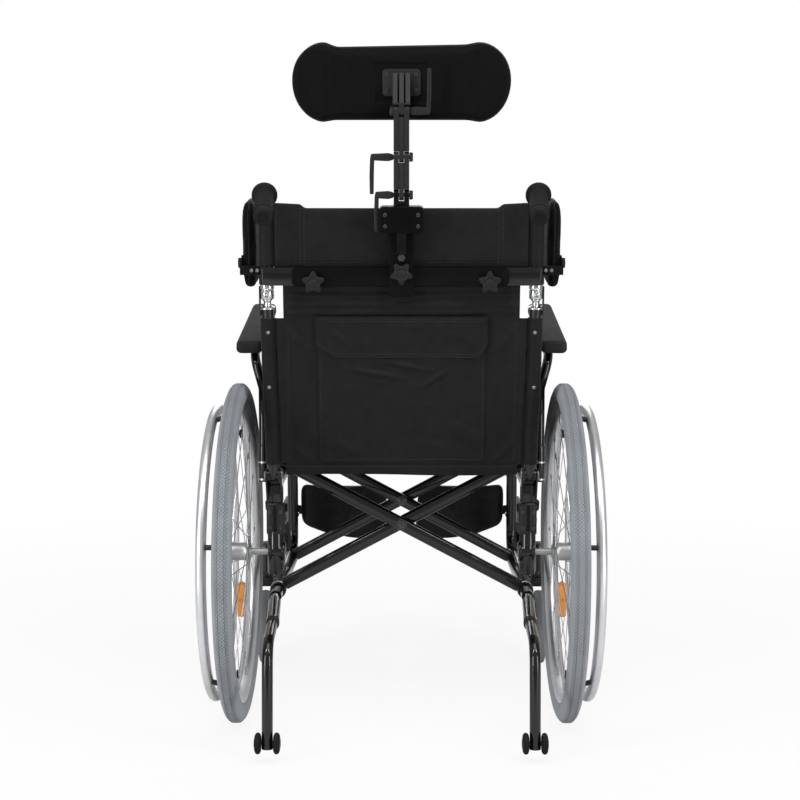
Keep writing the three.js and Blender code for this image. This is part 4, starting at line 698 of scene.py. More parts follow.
# %% Armrest sockets, each with two bright bands, and the saddles under the seat rails
sockets = []
for y, tall in ((-15, 68), (-300, 49)):
    sockets.append(turned([(7.3, 0), (9.4, 0), (9.9, 1), (9.9, tall - 1), (9.3, tall), (7.3, tall)], "Z",
                          (250, y, 431), 36))
    sockets.append(block(233, 242, y - 5, y + 5, 424, 441, 1.2))
sockets.append(block(236, 242, -20, 0, 431, 446, 1))
bands = [turned([(9.8, 0), (10.5, 0.4), (10.5, 3.2), (9.8, 3.6)], "Z", (250, y, z), 36)
         for y, z in ((-15, 434), (-15, 465), (-300, 434), (-300, 462))]
settle(joined(*sockets), "armrest_sockets_left", paint, "left_frame")
settle(joined(*bands), "socket_bands_left", chrome, "left_frame")
cradles = []
for y in (-130, -290):
    cradle = block(215.5, 240.5, y - 13.5, y + 13.5, 433, 463.5, 2)
    cradles.append(cut(cradle, tube([(FRAME_X, y - 20, SEAT_RAIL), (FRAME_X, y + 20, SEAT_RAIL)], 11.7, sides=32)))
settle(joined(*cradles), "seat_saddles_left", plastic, "left_frame")

# %% Caster housing, leg rest lugs and the wheel lock's bracket
SWIVEL_X, SWIVEL_Y, HANGER_Y = 283, -430, -456
LOCK_Y, LOCK_Z = -336, 440
housing = turned([(6.7, 0), (15, 0), (16, 1.4), (16, 9), (14.2, 11), (14.2, 57), (16, 59), (16, 64), (14, 67.2),
                  (9, 68), (0, 68), (0, 62), (6.7, 62)], "Z", (SWIVEL_X, SWIVEL_Y, 172), 44)
web_outline = softened([(237, 214), (270, 208), (270, 240), (262, 262), (237, 290)], 5)
web = plate(web_outline, -434, -426, "Y", 1.2)
lug_outline = wrapped(disc(12, FRAME_X, HANGER_Y, 32), rectangle(216, 240, -456, -432))
lugs = [plate(lug_outline, z - 3, z + 3, "Z", 0.8) for z in (300, 385)]
lugs = [cut(lug, tube([(FRAME_X, HANGER_Y, 290), (FRAME_X, HANGER_Y, 395)], 6.8)) for lug in lugs]
bracket = plate(softened(wrapped(disc(11, LOCK_Y, LOCK_Z, 28), rectangle(-347, -325, 414, 436)), 1), 254, 260, "X", 0.8)
arm = block(238, 255, -346, -326, 420, 430.5, 1.2)
pivot = peg(4, 0, 13, "X", (255, LOCK_Y, LOCK_Z), 24)
nut = turned([(0, 0), (7, 0), (7, 3.4), (6, 4.4), (0, 4.4)], "X", (268.4, LOCK_Y, LOCK_Z), 6)
settle(joined(housing, web, *lugs, bracket, arm), "frame_brackets_left", paint, "left_frame")
settle(joined(pivot, nut), "lock_pivot_bolt_left", zinc, "left_frame")
cap = turned([(0, 0), (15.6, 0), (15.2, 2.2), (9, 4.6), (0, 5.4)], "Z", (SWIVEL_X, SWIVEL_Y, 239.8), 36)
settle(cap, "caster_cap_left", plastic, "left_frame")

# %% [markdown]
# ## Folding cross
# Two crossed arms of oval tube stand at the rear and two in front. Their long highlights are the first thing
# that shows under the seat, so the ovals are smooth. Arm a swings on the left lower rail, arm b on the right.

# %% Cross arms
def cross_arm(low, offset, name, body):
    """Both oval tubes of one arm, with its sleeve on the lower rail and its seat rail."""
    ovals, high = [], -low
    way = Vector((high - low, 0, 242)).normalized()
    turn = Vector((0, 0, 1)).rotation_difference(way).to_matrix().to_4x4()
    for y in (-64 + offset, -350 + offset):
        oval = plate([Vector((7.5 * math.cos(a), (4.5 if math.sin(a) > 0 else -4.5) + 7.5 * math.sin(a)))
                      for a in (2 * math.pi * (k + 0.5) / 28 for k in range(28))], 12, 504, "Z", 0)
        stand = Matrix(((0, 1, 0, 0), (1, 0, 0, 0), (0, 0, -1, 0), (0, 0, 0, 1)))
        oval.data.transform(Matrix.Translation((low, y, LOW_RAIL)) @ turn @ Matrix.Translation((0, 0, 516)) @ stand)
        ovals.append(tidy(oval))
    sleeve = turned([(11.9, -372), (14.4, -372), (15, -371), (15, -347), (14.5, -346), (14.5, -64), (15, -63),
                     (15, -39), (14.4, -38), (11.9, -38)], "Y", (low, 0, LOW_RAIL), 36)
    rail = tube([(high, -405, SEAT_RAIL), (high, -22, SEAT_RAIL)], 10.8)
    settle(joined(*ovals, sleeve, rail), name, paint, body, [name.replace("_tubes", "")])


cross_arm(228, -9, "cross_arm_a_tubes", "cross_a")
cross_arm(-228, 9, "cross_arm_b_tubes", "cross_b")
plugs = [turned([(0, 0), (11, 0), (11, 1.2), (9, 3), (0, 3.4)], (0, s, 0), (FRAME_X, y, SEAT_RAIL), 28)
         for s, y in ((-1, -404.9), (1, -22.1))]
rail_plugs = joined(*plugs)
other = copy_at(rail_plugs, MIRROR)
settle(rail_plugs, "rail_plugs_left", plastic, "cross_b", both=False)
settle(other, "rail_plugs_right", plastic, "cross_a")

# %% Pivot bolts through the crossings
pins = []
for y in (-64, -350):
    pins.append(peg(5.8, -17, 17, "Y", (0, y, 346), 24))
    for sign in (-1, 1):
        at = (0, y + sign * 16.8, 346)
        pins.append(turned([(0, 0), (10, 0), (10, 0.9), (9, 1.3), (0, 1.3)], (0, sign, 0), at, 32))
        pins.append(turned([(0, 1.2), (6.6, 1.2), (6.6, 2.4), (5.4, 3), (0, 3)], (0, sign, 0), at, 6))
washers = [ring(6.2, 11, -1.3, 1.3, "Y", (0, y, 346), 36, soft=0.4) for y in (-64, -350)]
settle(joined(*pins), "cross_pivot_bolts", dark_zinc, "cross_b")
settle(joined(*washers), "cross_washers", plastic, "cross_b")
print("pieces so far", len(made))

# %% [markdown]
# ## Casters
# The front wheels run in moulded forks that swivel under the caster housings. Tyre, hub and fork are separate
# pieces, and the hub keeps five spokes with a boss for the axle bolt.

# %% Caster fork
CASTER = (SWIVEL_X, -385, 75)
fork_outline = softened(wrapped(disc(12, *CASTER[1:], 32), rectangle(-447, -413, 153, 165)), 3)
cheeks = [plate(fork_outline, x, x + 4, "X", 1.1) for x in (265.5, 296.5)]
crown = plate(rectangle(265.5, 300.5, -447, -413, 5), 152.5, 165, "Z", 2.2, 3)
stem = turned([(0, 0), (14, 0), (14, 5.4), (12, 6.4), (6, 6.4), (6, 40), (0, 40)], "Z", (SWIVEL_X, SWIVEL_Y, 165), 36)
settle(joined(*cheeks, crown, stem), "fork_moulding_left", plastic, "caster_swivel_left", ["caster_fork_left"],
       angle=30)
axle = peg(3.9, -17.9, 17.9, "X", CASTER, 20)
nuts = [turned([(0, 0), (6.4, 0), (6.4, 2.6), (5.2, 3.8), (0, 3.8)], (s, 0, 0), (SWIVEL_X + s * 17.4, *CASTER[1:]),
               6) for s in (-1, 1)]
settle(joined(axle, *nuts), "caster_axle_left", zinc, "caster_swivel_left")

# %% Caster tyre and hub
tread_ring = turned([(60, -7), (66, -9.6), (71, -9.4), (74.2, -6.4), (75, 0), (74.2, 6.4), (71, 9.4), (66, 9.6),
                     (60, 7)], "X", CASTER, 64, soft=1)
settle(tread_ring, "caster_tyre_left", grey_plastic, "caster_left", ["caster_wheel_left"])
hub_ring = turned([(51, -6), (60.4, -7.6), (62, -6.6), (62, 6.6), (60.4, 7.6), (51, 6)], "X", CASTER, 56, soft=0.6)
core = turned([(4.7, -10.6), (12, -10.6), (14, -9), (15, 0), (14, 9), (12, 10.6), (4.7, 10.6)], "X", CASTER, 32)
arms = []
for k in range(5):
    spoke_arm = plate(softened([(13, -5), (53, -7.5), (53, 7.5), (13, 5)], 2), -4.6, 4.6, "X", 1.4)
    spoke_arm.data.transform(Matrix.Translation(CASTER) @ Matrix.Rotation(math.radians(72 * k), 4, "X"))
    arms.append(spoke_arm)
settle(joined(hub_ring, core, *arms), "caster_hub_left", plastic, "caster_left")

# %% [markdown]
# ## Anti-tippers
# A bent tube plugs into the tail of each lower rail, drops behind the wheel and ends in two small rollers. A
# ribbed collar closes the telescoping joint and a spring button locks it.

# %% Legs
ROLLER = (222, 272, 34)
stub_way = [(FRAME_X, -28, LOW_RAIL), (FRAME_X, 24, LOW_RAIL), (222, 150, 205)]
stub = tube(stub_way, 8, bend=16)
run = (Vector(stub_way[2]) - Vector(stub_way[1])).normalized()
elbow = Vector(stub_way[2])
leg = tube([elbow - run * 10, (222, 256, 196), (222, 272, 25.2)], 9.3, bend=40, steps=12)
settle(joined(stub, leg), "anti_tipper_tubes_left", paint, "anti_tip_leg_left", ["anti_tipper_left"])
collar = turned([(8.2, -14), (10.4, -14), (11.4, -13), (11.4, -10), (10.4, -9.4), (10.4, -7), (11.4, -6.4),
                 (11.4, -3), (10.8, 0), (9.4, 1), (8.2, 1)], run, elbow, 36)
end_plug = turned([(0, 0), (9.2, 0), (9, 1.6), (5, 2.4), (0, 2.4)], (0, 0.09, -1), (222, 271.9, 25.8), 28)
settle(joined(collar, end_plug), "anti_tipper_collar_left", plastic, "anti_tip_leg_left")
sleeve = turned([(8.1, -110), (10.4, -110), (11, -109.4), (11, -18.6), (10.4, -18), (8.1, -18)], run, elbow, 36)
settle(sleeve, "anti_tipper_sleeve_left", paint, "anti_tip_leg_left")
button = turned([(0, 0), (3, 0), (3, 0.8), (1.6, 1.8), (0, 2)], "X", elbow + run * -30 + Vector((10.8, 0, 0)), 20)
pin = peg(3.4, -22, 22, "X", ROLLER, 16)
heads = [turned([(0, 0), (5.4, 0), (5, 1.6), (2.5, 2), (0, 2)], (s, 0, 0), (222 + s * 20.2, 272, 34), 24)
         for s in (-1, 1)]
settle(button, "anti_tipper_button_left", zinc, "anti_tip_leg_left")

# %% Rollers
tyres = [turned([(6, s * 10), (13, s * 10.4), (16.4, s * 12), (17.8, s * 14.4), (17.8, s * 16.8), (16.4, s * 19.2),
                 (13, s * 20.8), (6, s * 21)], "X", ROLLER, 40) for s in (-1, 1)]
discs = [turned([(3.5, s * 9.9), (6.5, s * 9.9), (11, s * 10.3), (11, s * 20.6), (7, s * 22), (3.5, s * 22.1)], "X",
                ROLLER, 32) for s in (-1, 1)]
settle(joined(*tyres), "roller_tyres_left", rubber, "anti_tip_roller_left", ["anti_tip_rollers_left"])
settle(joined(*discs, pin, *heads), "roller_hubs_left", plastic, "anti_tip_roller_left")

# %% [markdown]
# ## Armrests
# Each armrest is a glossy loop that lifts out of its two sockets. A flat guard fills the loop under a soft pad.

# %% Armrest loop
loop_way = [(250, -15, 499.3), (250, -15, 600.4), (266, -15, 658.4), (266, -300, 710.1), (250, -300, 600.4),
            (250, -300, 480.3)]
loop = tube(loop_way, 8.5, bend=32, steps=10)
inserts = [tube([(250, y, top - 41), (250, y, top + 1)], 6.4, sides=20) for y, top in ((-15, 499), (-300, 480))]
settle(joined(loop, *inserts), "armrest_loop_left", paint, "armrest_left", ["armrest_frame_left"])

# %% Guard: a moulded panel with a raised rim
guard_outline = [(-291.2, 592), (-279, 604), (-36, 604), (-23.8, 592), (-23.8, 499.6), (-25.8, 499.6), (-25.8, 472),
                 (-289.2, 472), (-289.2, 480.6), (-291.2, 480.6)]
panel = plate(softened(guard_outline, 5), 248.6, 251.4, "X", 0.7)
inner = [(y * 0.92 - 12.6, 538 + (z - 538) * 0.8) for y, z in guard_outline]
rim_way = [Vector((251.3, y, z)) for y, z in softened(inner, 14, 6)]
settle(joined(panel, rods([rim_way], 1.2, 8, closed=True)), "guard_panel_left", plastic, "armrest_left",
       ["side_guard_left"])

# %% [markdown]
# The armrest pads are moulded foam with a skin: a rounded slab that is full in the middle of its top. The slab
# is remeshed, and its points are lifted one by one, because foam in a mould keeps its shape and has no slack cloth.

# %% Armrest pads
def remeshed(piece, voxel):
    """One even skin over a rough form."""
    alone(piece)
    piece.data.remesh_voxel_size = voxel
    bpy.ops.object.voxel_remesh()
    return piece


def pad_line(y):
    """The height of the pad's middle, which follows the sloping top of the loop."""
    return 678.4 + (-15 - y) * math.tan(slope)


slope = math.atan2(51.7, 285)
slab = plate(rectangle(-324, 6, 250, 297, 13, 6), -11.5, 11.5, "Z", 7, 5)
slab.data.transform(Matrix(((0, 1, 0, 0), (1, 0, 0, 0), (0, 0, 1, 0), (0, 0, 0, 1))))
slab = tidy(remeshed(slab, 3.0))
for vertex in slab.data.vertices:
    x, y, z = vertex.co
    s = min(1, max(abs((x - 273.5) / 23.5), abs((y + 159) / 165) ** 6))
    lift = 1.2 * (1 - s * s) if z > 0 else -0.3
    seat = min(1, max(0, (7.5 - abs(x - 266)) / 3)) if z < -4 else 0
    vertex.co.z = pad_line(y) + z * 0.93 + lift + seat * 0.4
finished(slab, "SMOOTH", factor=0.5, iterations=3)
settle(slab, "armrest_foam_left", foam, "armrest_left", ["armrest_pad_left"])
seam = [Vector((x, y, pad_line(y) - 3.4)) for y, x in rectangle(-323.6, 5.6, 250.4, 296.6, 13, 6)]
settle(rods([seam], 0.7, 8, closed=True), "armrest_seam_left", rubber, "armrest_left")
from_below = (0, -math.sin(slope), -math.cos(slope))
screws = [screw((266, y, pad_line(y) - 28.6), from_below, 3.4, 1.6) for y in (-80, -240)]
settle(joined(*screws), "armrest_screws_left", zinc, "armrest_left")

# %% [markdown]
# ## Wheel locks
# A flat lever turns on the bracket above the front of the tyre. Its short arm carries a ribbed shoe and its
# long arm a soft ball.

# %% Wheel lock
shoe_y, shoe_z = LOCK_Y + 48 * math.cos(math.radians(-60)), LOCK_Z + 48 * math.sin(math.radians(-60))
arms = []
for end, low, high in ((disc(8, shoe_y, shoe_z), 262.4, 267.6), (disc(6.3, -352, 513), 262, 268)):
    arm = plate(wrapped(disc(11, LOCK_Y, LOCK_Z), end), low, high, "X", 1)
    arms.append(drilled(arm, 4.6, (255, LOCK_Y, LOCK_Z), (275, LOCK_Y, LOCK_Z)))
settle(joined(*arms), "lock_lever_left", steel_black, "lock_left", ["wheel_lock_left"])
ribbed = [(0, 267), (7.2, 267), (7.9, 268)]
for k in range(9):
    ribbed += [(7.9, 270 + 4.2 * k), (7.9, 272 + 4.2 * k), (7.1, 272.6 + 4.2 * k), (7.1, 273.6 + 4.2 * k)]
shoe = turned(ribbed + [(7.9, 308.8), (6.8, 310), (0, 310)], "X", (0, shoe_y, shoe_z), 28)
settle(shoe, "lock_shoe_left", dark_zinc, "lock_left")
ball = turned([(0, -18), (5.2, -18), (6, -14), (8.2, -6), (9, 2), (8.6, 8), (6.6, 13), (3.4, 15.6), (0, 16.2)], "Z",
              (265, -352, 522), 32)
settle(ball, "lock_ball_left", rubber, "lock_left")

# %% [markdown]
# ## Leg rests
# A hook-in hanger ends in a round knee with a ratchet. From it the leg tube runs down and forward to the folded
# footplate. The calf pad is clamped round the tube. From behind, the pads show under the seat as two wings.

# %% Hanger and knee
KNEE_Y, KNEE_Z = -490, 438
KNEE = (0, KNEE_Y, KNEE_Z)
hanger = joined(tube([(FRAME_X, HANGER_Y, 290), (FRAME_X, HANGER_Y, 395)], 6, sides=20),
                tube([(FRAME_X, HANGER_Y, 394), (FRAME_X, HANGER_Y, KNEE_Z), (263.7, KNEE_Y, KNEE_Z)], 9, bend=16))
knee_in = turned([(0, 258), (15.6, 258), (17, 259.4), (17, 268.6), (16, 270.3), (0, 270.3)], "X", KNEE, 44)
settle(joined(hanger, knee_in), "hanger_tubes_left", paint, "hanger_left", ["legrest_hanger_left"])
hanger_bolt = turned([(0, 268), (5, 268), (5, 291), (7, 291.2), (7, 292.2), (5.5, 293), (0, 293)], "X", KNEE, 24)
settle(hanger_bolt, "knee_bolt_left", zinc, "hanger_left")

# %% Leg tube
down = Vector((0, -math.cos(LEG_LEAN), -math.sin(LEG_LEAN)))
knee = Vector((281, KNEE_Y, KNEE_Z))
knee_out = turned([(5.7, 270.6), (16, 270.6), (17, 271.6), (17, 289.4), (15.6, 290.9), (5.7, 290.9)], "X", KNEE, 44)
upper = tube([knee, knee + down * 196], 9.5)
lower = tube([knee + down * 195, knee + down * 316], 7.5)
collar = turned([(9.4, 0), (11.4, 0), (12, 1), (12, 13), (11, 14), (7.6, 14)], down, knee + down * 182, 36, soft=0.4)
shoe_block = block(258, 288.4, -626, -590.2, 133.9, 156.8, 2.4)
rod = peg(4, 0, 148, (0, -1, 0), (262, -591, 138), 20)
settle(joined(knee_out, upper), "leg_tube_upper_left", paint, "leg_left", ["leg_tube_left"])
settle(joined(lower, rod), "leg_tube_slide_left", satin, "leg_left")
settle(joined(collar, shoe_block), "leg_tube_mouldings_left", plastic, "leg_left")
holes = [peg(2.4, 0, 0.3, (0, math.sin(LEG_LEAN), -math.cos(LEG_LEAN)),
             knee + down * d + Vector((0, math.sin(LEG_LEAN), -math.cos(LEG_LEAN))) * 7.45, 16)
         for d in (215, 235, 255, 275, 295)]
settle(joined(*holes), "leg_tube_holes_left", rubber, "leg_left")

# %% Footplate: a moulded plate with a rim and grip ribs, folded up
rear = KNEE_Y - 316 * math.cos(LEG_LEAN) - 7.8
panel = plate(rectangle(-738, rear, 138, 296, 18, 6), 259.5, 264.5, "X", 1)
rim_way = [Vector((262, y, z)) for y, z in rectangle(-735.5, rear - 2.5, 140.5, 293.5, 16, 6)]
lip = rods([rim_way], 3, 12, closed=True)
ribs = [block(257, 262, -726, rear - 12, z - 1.6, z + 1.6, 0.8) for z in (162, 178, 194, 210, 226, 242, 258, 274)]
barrel = turned([(4.7, 0), (7.4, 0), (8, 0.8), (8, 738 + rear - 0.8), (7.4, 738 + rear), (4.7, 738 + rear)],
                (0, -1, 0), (262, rear, 138), 28)
settle(joined(panel, lip, *ribs, barrel), "footplate_moulding_left", plastic, "foot_left", ["footplate_left"])
print("pieces so far", len(made))

# %% [markdown]
# ## Back canes and push handles
# Each cane stands in the ears at its foot. A turned chrome knuckle on top lets the upper half fold to the rear,
# and the upper tube bends over into the push handle with its ribbed grip.

# %% Canes
cane = joined(tube([(229, 0, 0), (CANE_X, 0, 250), (CANE_X, 0, 301)], 11, bend=60),
              peg(10.9, -10.6, 10.6, "X", (229, 0, 0), 32, soft=0.5),
              peg(4, -15.5, 15.5, "X", (229, 0, 0), 20))
settle(cane, "cane_tube_left", paint, "lower_back_left", ["back_cane_left"])

# %% Chrome knuckle
HINGE = (19.5, 336.3)
profile = [(0, 0), (12, 0), (13, 0.8), (13, 3.4), (12, 4.2), (9.6, 5), (7.6, 6.6), (6.5, 9), (6.5, 13), (7.4, 15),
           (9, 16.4), (9, 17.6), (11.2, 18.4), (12, 19.6), (12, 33.4), (11, 34.8), (0, 34.8)]
stud = turned(profile, "Z", (CANE_X, 0, 301.3), 48)
tab = plate(softened(wrapped(disc(6, *HINGE, 20), rectangle(4, 11, 323, 336)), 1), 231, 237, "X", 0.8)
settle(joined(stud, tab), "knuckle_stud_left", chrome, "lower_back_left", ["fold_knuckle_left"])
pin = peg(3, -6.2, 6.2, "X", (CANE_X, *HINGE), 20)
side_strap = joined(plate(rectangle(-5, 5, 290, 342, 4), 245.4, 248.4, "X", 0.7), block(240, 246, -3, 3, 291, 299, 0.8))
settle(side_strap, "knuckle_strap_left", paint, "lower_back_left")
settle(pin, "knuckle_pin_left", zinc, "lower_back_left")

# %% Upper tube and the welded parts on it
LEAN_IN, DROOP = math.radians(3.5), math.radians(11.9)
droop = Matrix.Rotation(LEAN_IN, 3, "Z") @ Vector((0, math.cos(DROOP), -math.sin(DROOP)))
bend_top = Vector((CANE_X, 0, 514))
handle = tube([(CANE_X, 0, 336.6), bend_top, bend_top + droop * 163.2], 11, bend=34, steps=12)
wing_outline = softened(wrapped(disc(6, *HINGE, 20), rectangle(5.5, 8.8, 344.3, 351.3)), 0.8)
wings = [plate(wing_outline, x, x + 3, "X", 0.7) for x in (227.7, 237.3)]
wings = [drilled(w, 3.6, (225, *HINGE), (243, *HINGE)) for w in wings]
ferrule = turned([(11.05, 0), (12.2, 0.4), (12.4, 2), (12.4, 9), (11.8, 10), (11.05, 10)], "Z", (CANE_X, 0, 336.7), 40)
clamp = turned([(11.05, 345), (13.2, 345), (14, 346), (14, 376), (13.2, 377), (11.05, 377)], "Z",
               (CANE_X, 0, 0), 44)
strap = plate(rectangle(136, 241, BAR_LOW, BAR_HIGH, 4), 13, 17, "Y", 0.8)
strap = drilled(strap, 4.6, (152, 10, CLAMP_Z), (152, 20, CLAMP_Z))
settle(joined(handle, *wings, clamp, strap), "handle_tubes_left", paint, "upper_back_left", ["handle_tube_left"])
settle(ferrule, "handle_ferrule_left", chrome, "upper_back_left")

# %% Trunk support bracket
KNOB_Y, KNOB_Z = -30, 378
outline = wrapped(disc(14, KNOB_Y, KNOB_Z, 28), rectangle(3, 6.5, 362, 378), rectangle(-56, -52.5, 371, 385))
support = plate(outline, 277.3, 280.3, "X", 0.8)
support = drilled(support, 4.6, (275, KNOB_Y, KNOB_Z), (283, KNOB_Y, KNOB_Z))
cross_bar = block(241, 280.3, 3, 6.5, 362, 378, 0.8)
bracket_screws = [screw((x, 6.3, 370), "Y", 3.2, 1.8) for x in (250, 260)]
settle(joined(support, cross_bar), "trunk_bracket_left", steel_black, "upper_back_left")
settle(joined(*bracket_screws), "trunk_bracket_screws_left", zinc, "upper_back_left")

# %% Hand grip: a flared hood, then a rubber sleeve with finger ribs, and a rounded end
ribs = [(11.3, 0), (17, 0), (20.4, 1.2), (21.8, 3.4), (21.8, 8.6), (20.4, 11.4), (17, 14.2), (15, 16.4)]
for k in range(16):
    at = 20 + 5.3 * k
    ribs += [(14.6, at), (16.1, at + 0.9), (16.1, at + 3.2), (14.6, at + 4.1)]
ribs += [(14.8, 110), (15.8, 113), (15.8, 117), (14.8, 119.4), (14.2, 121), (15, 122.6), (14.4, 124.8), (12, 126),
         (8, 126), (7.4, 125), (3, 124.6), (0, 124.6), (0, 122), (11.3, 122)]
grip = turned(ribs, droop, bend_top + droop * 42, 48)
settle(grip, "grip_rubber_left", rubber, "upper_back_left", ["hand_grip_left"], angle=30)

# %% [markdown]
# ## Bar and star knobs
# A flat bar across the canes carries the headrest. Its slot lets the right clamp slide. The three knobs have
# five round lobes, a hollow face and a cap in the middle.

# %% Spreader bar
bar = plate(rectangle(-186, 190, BAR_LOW, BAR_HIGH, 9, 5), 17.3, 21.3, "Y", 0.9)
slot = plate(wrapped(disc(4.8, -98, CLAMP_Z), disc(4.8, -158, CLAMP_Z)), 10, 30, "Y", 0)
bar = cut(bar, slot)
settle(bar, "bar_plate", steel_black, "upper_back_left", ["spreader_bar"])
liner = [Vector((x, 21.2, z)) for x, z in wrapped(disc(5.6, -98, CLAMP_Z), disc(5.6, -158, CLAMP_Z))]
settle(rods([liner], 0.7, 8, closed=True), "bar_slot_rim", steel_black, "upper_back_left")

# %% Star knobs
def star_knob(x, z, face, back, name, body, up=90):
    """Five lobes with soft rims, a dished face and a cap. One lobe points to the angle given."""
    lobes = []
    for k in range(80):
        a = 2 * math.pi * k / 80
        lobe = math.cos(5 * (a - math.radians(up)))
        r = 16.2 + (3.7 * lobe ** 1.25 if lobe > 0 else 3.2 * lobe)
        lobes.append(Vector((x + r * math.cos(a), z + r * math.sin(a))))
    star = plate(lobes, face + 3.3, face + 15, "Y", 2.6, 4)
    dish = turned([(0, 13.2), (9.4, 14.2), (11.2, 15.4), (11.2, 20), (0, 20)], "Y", (x, face, z), 40)
    star = cut(star, dish)
    boss = turned([(0, 0.3), (8.4, 0.3), (9, 1), (9, 3.6), (0, 3.6)], "Y", (x, face, z), 32)
    cap = turned([(0, 13), (6.4, 13), (7, 13.8), (6.6, 15), (4, 15.9), (0, 16.2)], "Y", (x, face, z), 36)
    settle(joined(star, boss, cap), name + "_star", knob_rubber, body, [name], angle=32)
    shank = peg(3.9, back, face + 2, "Y", (x, 0, z), 20)
    washer = ring(4, 10, face, face + 0.3, "Y", (x, 0, z), 28)
    settle(joined(shank, washer), name + "_screw", zinc, body)


for side, x in (("left", 152), ("right", -152)):
    star_knob(x, CLAMP_Z, 21.3, 12.7, "star_knob_" + side, "knob_" + side)
star_knob(0, 369, 25.6, 17.3, "star_knob_middle", "knob_middle", up=-90)

# %% [markdown]
# ## Headrest carrier
# A plate on the bar's middle holds a clamp block, and a square post slides in it. Two ribbed links and a head
# plate follow, hinged three times. Each hinge is clamped by a quick-release lever with a tapered handle.

# %% Bracket
strip = plate(rectangle(-21, 21, 326, 485, 3), 21.6, 25.6, "Y", 0.8)
strip = drilled(strip, 4.6, (0, 15, 369), (0, 30, 369))
block_piece = plate(rectangle(-38, 38, 440, 485, 8, 5), 21.6, 51.6, "Y", 2, 3)
hole = block(-8.4, 8.4, 33.6, 50.4, 435, 490, 0)
block_piece = cut(block_piece, hole)
settle(joined(strip, block_piece), "bracket_block", steel_black, "upper_back_left", ["headrest_bracket"])
screws = [screw((x, 51.4, z), "Y", 3.6, 2.2) for x in (-28, 28) for z in (452, 471)]
hexagon = turned([(0, 0), (7, 0), (7, 3), (6, 4), (0, 4)], "Y", (0, 25.6, 395), 6)
settle(joined(*screws, hexagon), "bracket_screws", dark_zinc, "upper_back_left")

# %% Post and links, with three ribs down their rear faces
def tine_pair(z, low):
    """The two cheeks of a hinge's fork."""
    outline = softened(wrapped(disc(9, 42, z, 28), rectangle(34, 50, low, low + 1)), 0.8)
    return [plate(outline, a, b, "X", 0.8) for a, b in ((-13.2, -4.5), (4.5, 13.2))]


def tongue(z, high):
    """The middle leaf of a hinge."""
    return plate(softened(wrapped(disc(9, 42, z, 28), rectangle(34, 50, high - 1, high)), 0.8), -4.2, 4.2, "X", 0.8)


def ribbed(z0, z1):
    """The body of a link: a rounded bar with three ribs standing proud of its front and rear."""
    core = block(-13.2, 13.2, 35.4, 48.6, z0, z1, 0.5)
    ribs = [block(x - 3.2, x + 3.2, 34, 50, z0 + 0.3, z1 - 0.3, 0.8) for x in (-9.6, 0, 9.6)]
    return joined(core, *ribs)


def bored(piece, z):
    """A hinge piece with the hole for its shaft."""
    return drilled(piece, 4, (-20, 42, z), (20, 42, z))


shaft = block(-8, 8, 34, 50, 404, 490.5, 0.8)
head = block(-13.2, 13.2, 34, 50, 485.8, 493.8, 0.8)
settle(joined(shaft, head, *[bored(t, 504) for t in tine_pair(504, 492.8)]), "post_bar", steel_black,
       "headrest_slide", ["headrest_post"])
for low, high, level in ((504, 567.5, "lower"), (567.5, 644, "upper")):
    a, b = low + 9.6, high - 9.6
    link = joined(bored(tongue(low, a + 1), low), ribbed(a, b), *[bored(t, high) for t in tine_pair(high, b - 1)])
    settle(link, "link_" + level + "_ribbed", plastic, "headrest_" + level, ["headrest_link_" + level])

# %% Head plate
face = plate(rectangle(-32, 32, 667, 712, 8, 5), 14, 17, "Y", 1)
neck = block(-13.2, 13.2, 34, 50, 654.2, 657.2, 0.6)
ribs = []
for x in (-10.56, 0, 10.56):
    rib = plate(softened(wrapped(rectangle(34, 50, 654.2, 655.2), rectangle(14, 17, 656, 706)), 1.5), x - 3.9,
                x + 3.9, "X", 0.8)
    ribs.append(rib)
settle(joined(face, neck, *ribs, bored(tongue(644, 655), 644)), "head_plate_ribbed", plastic, "headrest",
       ["head_plate"])
screws = [screw((x, 16.8, z), "Y", 3.6, 2.4) for x in (-24, 24) for z in (676.9, 702.1)]
settle(joined(*screws), "head_plate_screws", dark_zinc, "headrest")

# %% Quick-release levers
def cam_lever(z, reach, rise, side, name, body, node):
    """A shaft through the hinge, a thick short arm and a tapered handle."""
    shaft = tube([(-side * 18.5, 42, z), (side * 20, 42, z)], 3.4, sides=20)
    short = [(side * 13.6, z - 4.6), (side * 22, z - 6.8), (side * (reach + 1), z - 5.4), (side * (reach + 2.8), z),
             (side * (reach + 1), z + 5.4), (side * 22, z + 6.8), (side * 13.6, z + 4.6)]
    arm = plate(softened(short[::side], 2), 38.4, 45.6, "Y", 1.4)
    taper = [(side * (reach - 4.4), z), (side * (reach + 2.8), z), (side * (reach + 4), z + rise * 0.5),
             (side * (reach + 3.6), z + rise), (side * (reach - 3.2), z + rise), (side * (reach - 3.6), z + rise * 0.5)]
    handle = plate(softened(taper[::side if rise > 0 else -side], 1.8), 38.8, 45.2, "Y", 1.3)
    nut = turned([(0, 13.5), (7.8, 13.5), (7.8, 18), (6.6, 19.5), (0, 19.5)], (-side, 0, 0), (0, 42, z), 6)
    settle(joined(shaft, arm, handle, nut), name, plastic, body, [node])


cam_lever(504, 42.5, -62, 1, "lever_low", "cam_low", "cam_lever_low")
cam_lever(567.5, 50, -62, 1, "lever_mid", "cam_mid", "cam_lever_mid")
cam_lever(644, 46, 70, -1, "lever_top", "cam_top", "cam_lever_top")
print("pieces so far", len(made))

# %% [markdown]
# ## Stuffed pieces
# A pad is drawn as a flat slab with full edges, wrapped in one even skin and bent to its place. Then a cloth
# simulation with a little air pressure swells the skin, so that it is crowned and its edges pull in between the
# corners. Seams come last, because the even skin would lose them. Points are capped in how far they move.

# %% Skin and air
FRAMES = 20


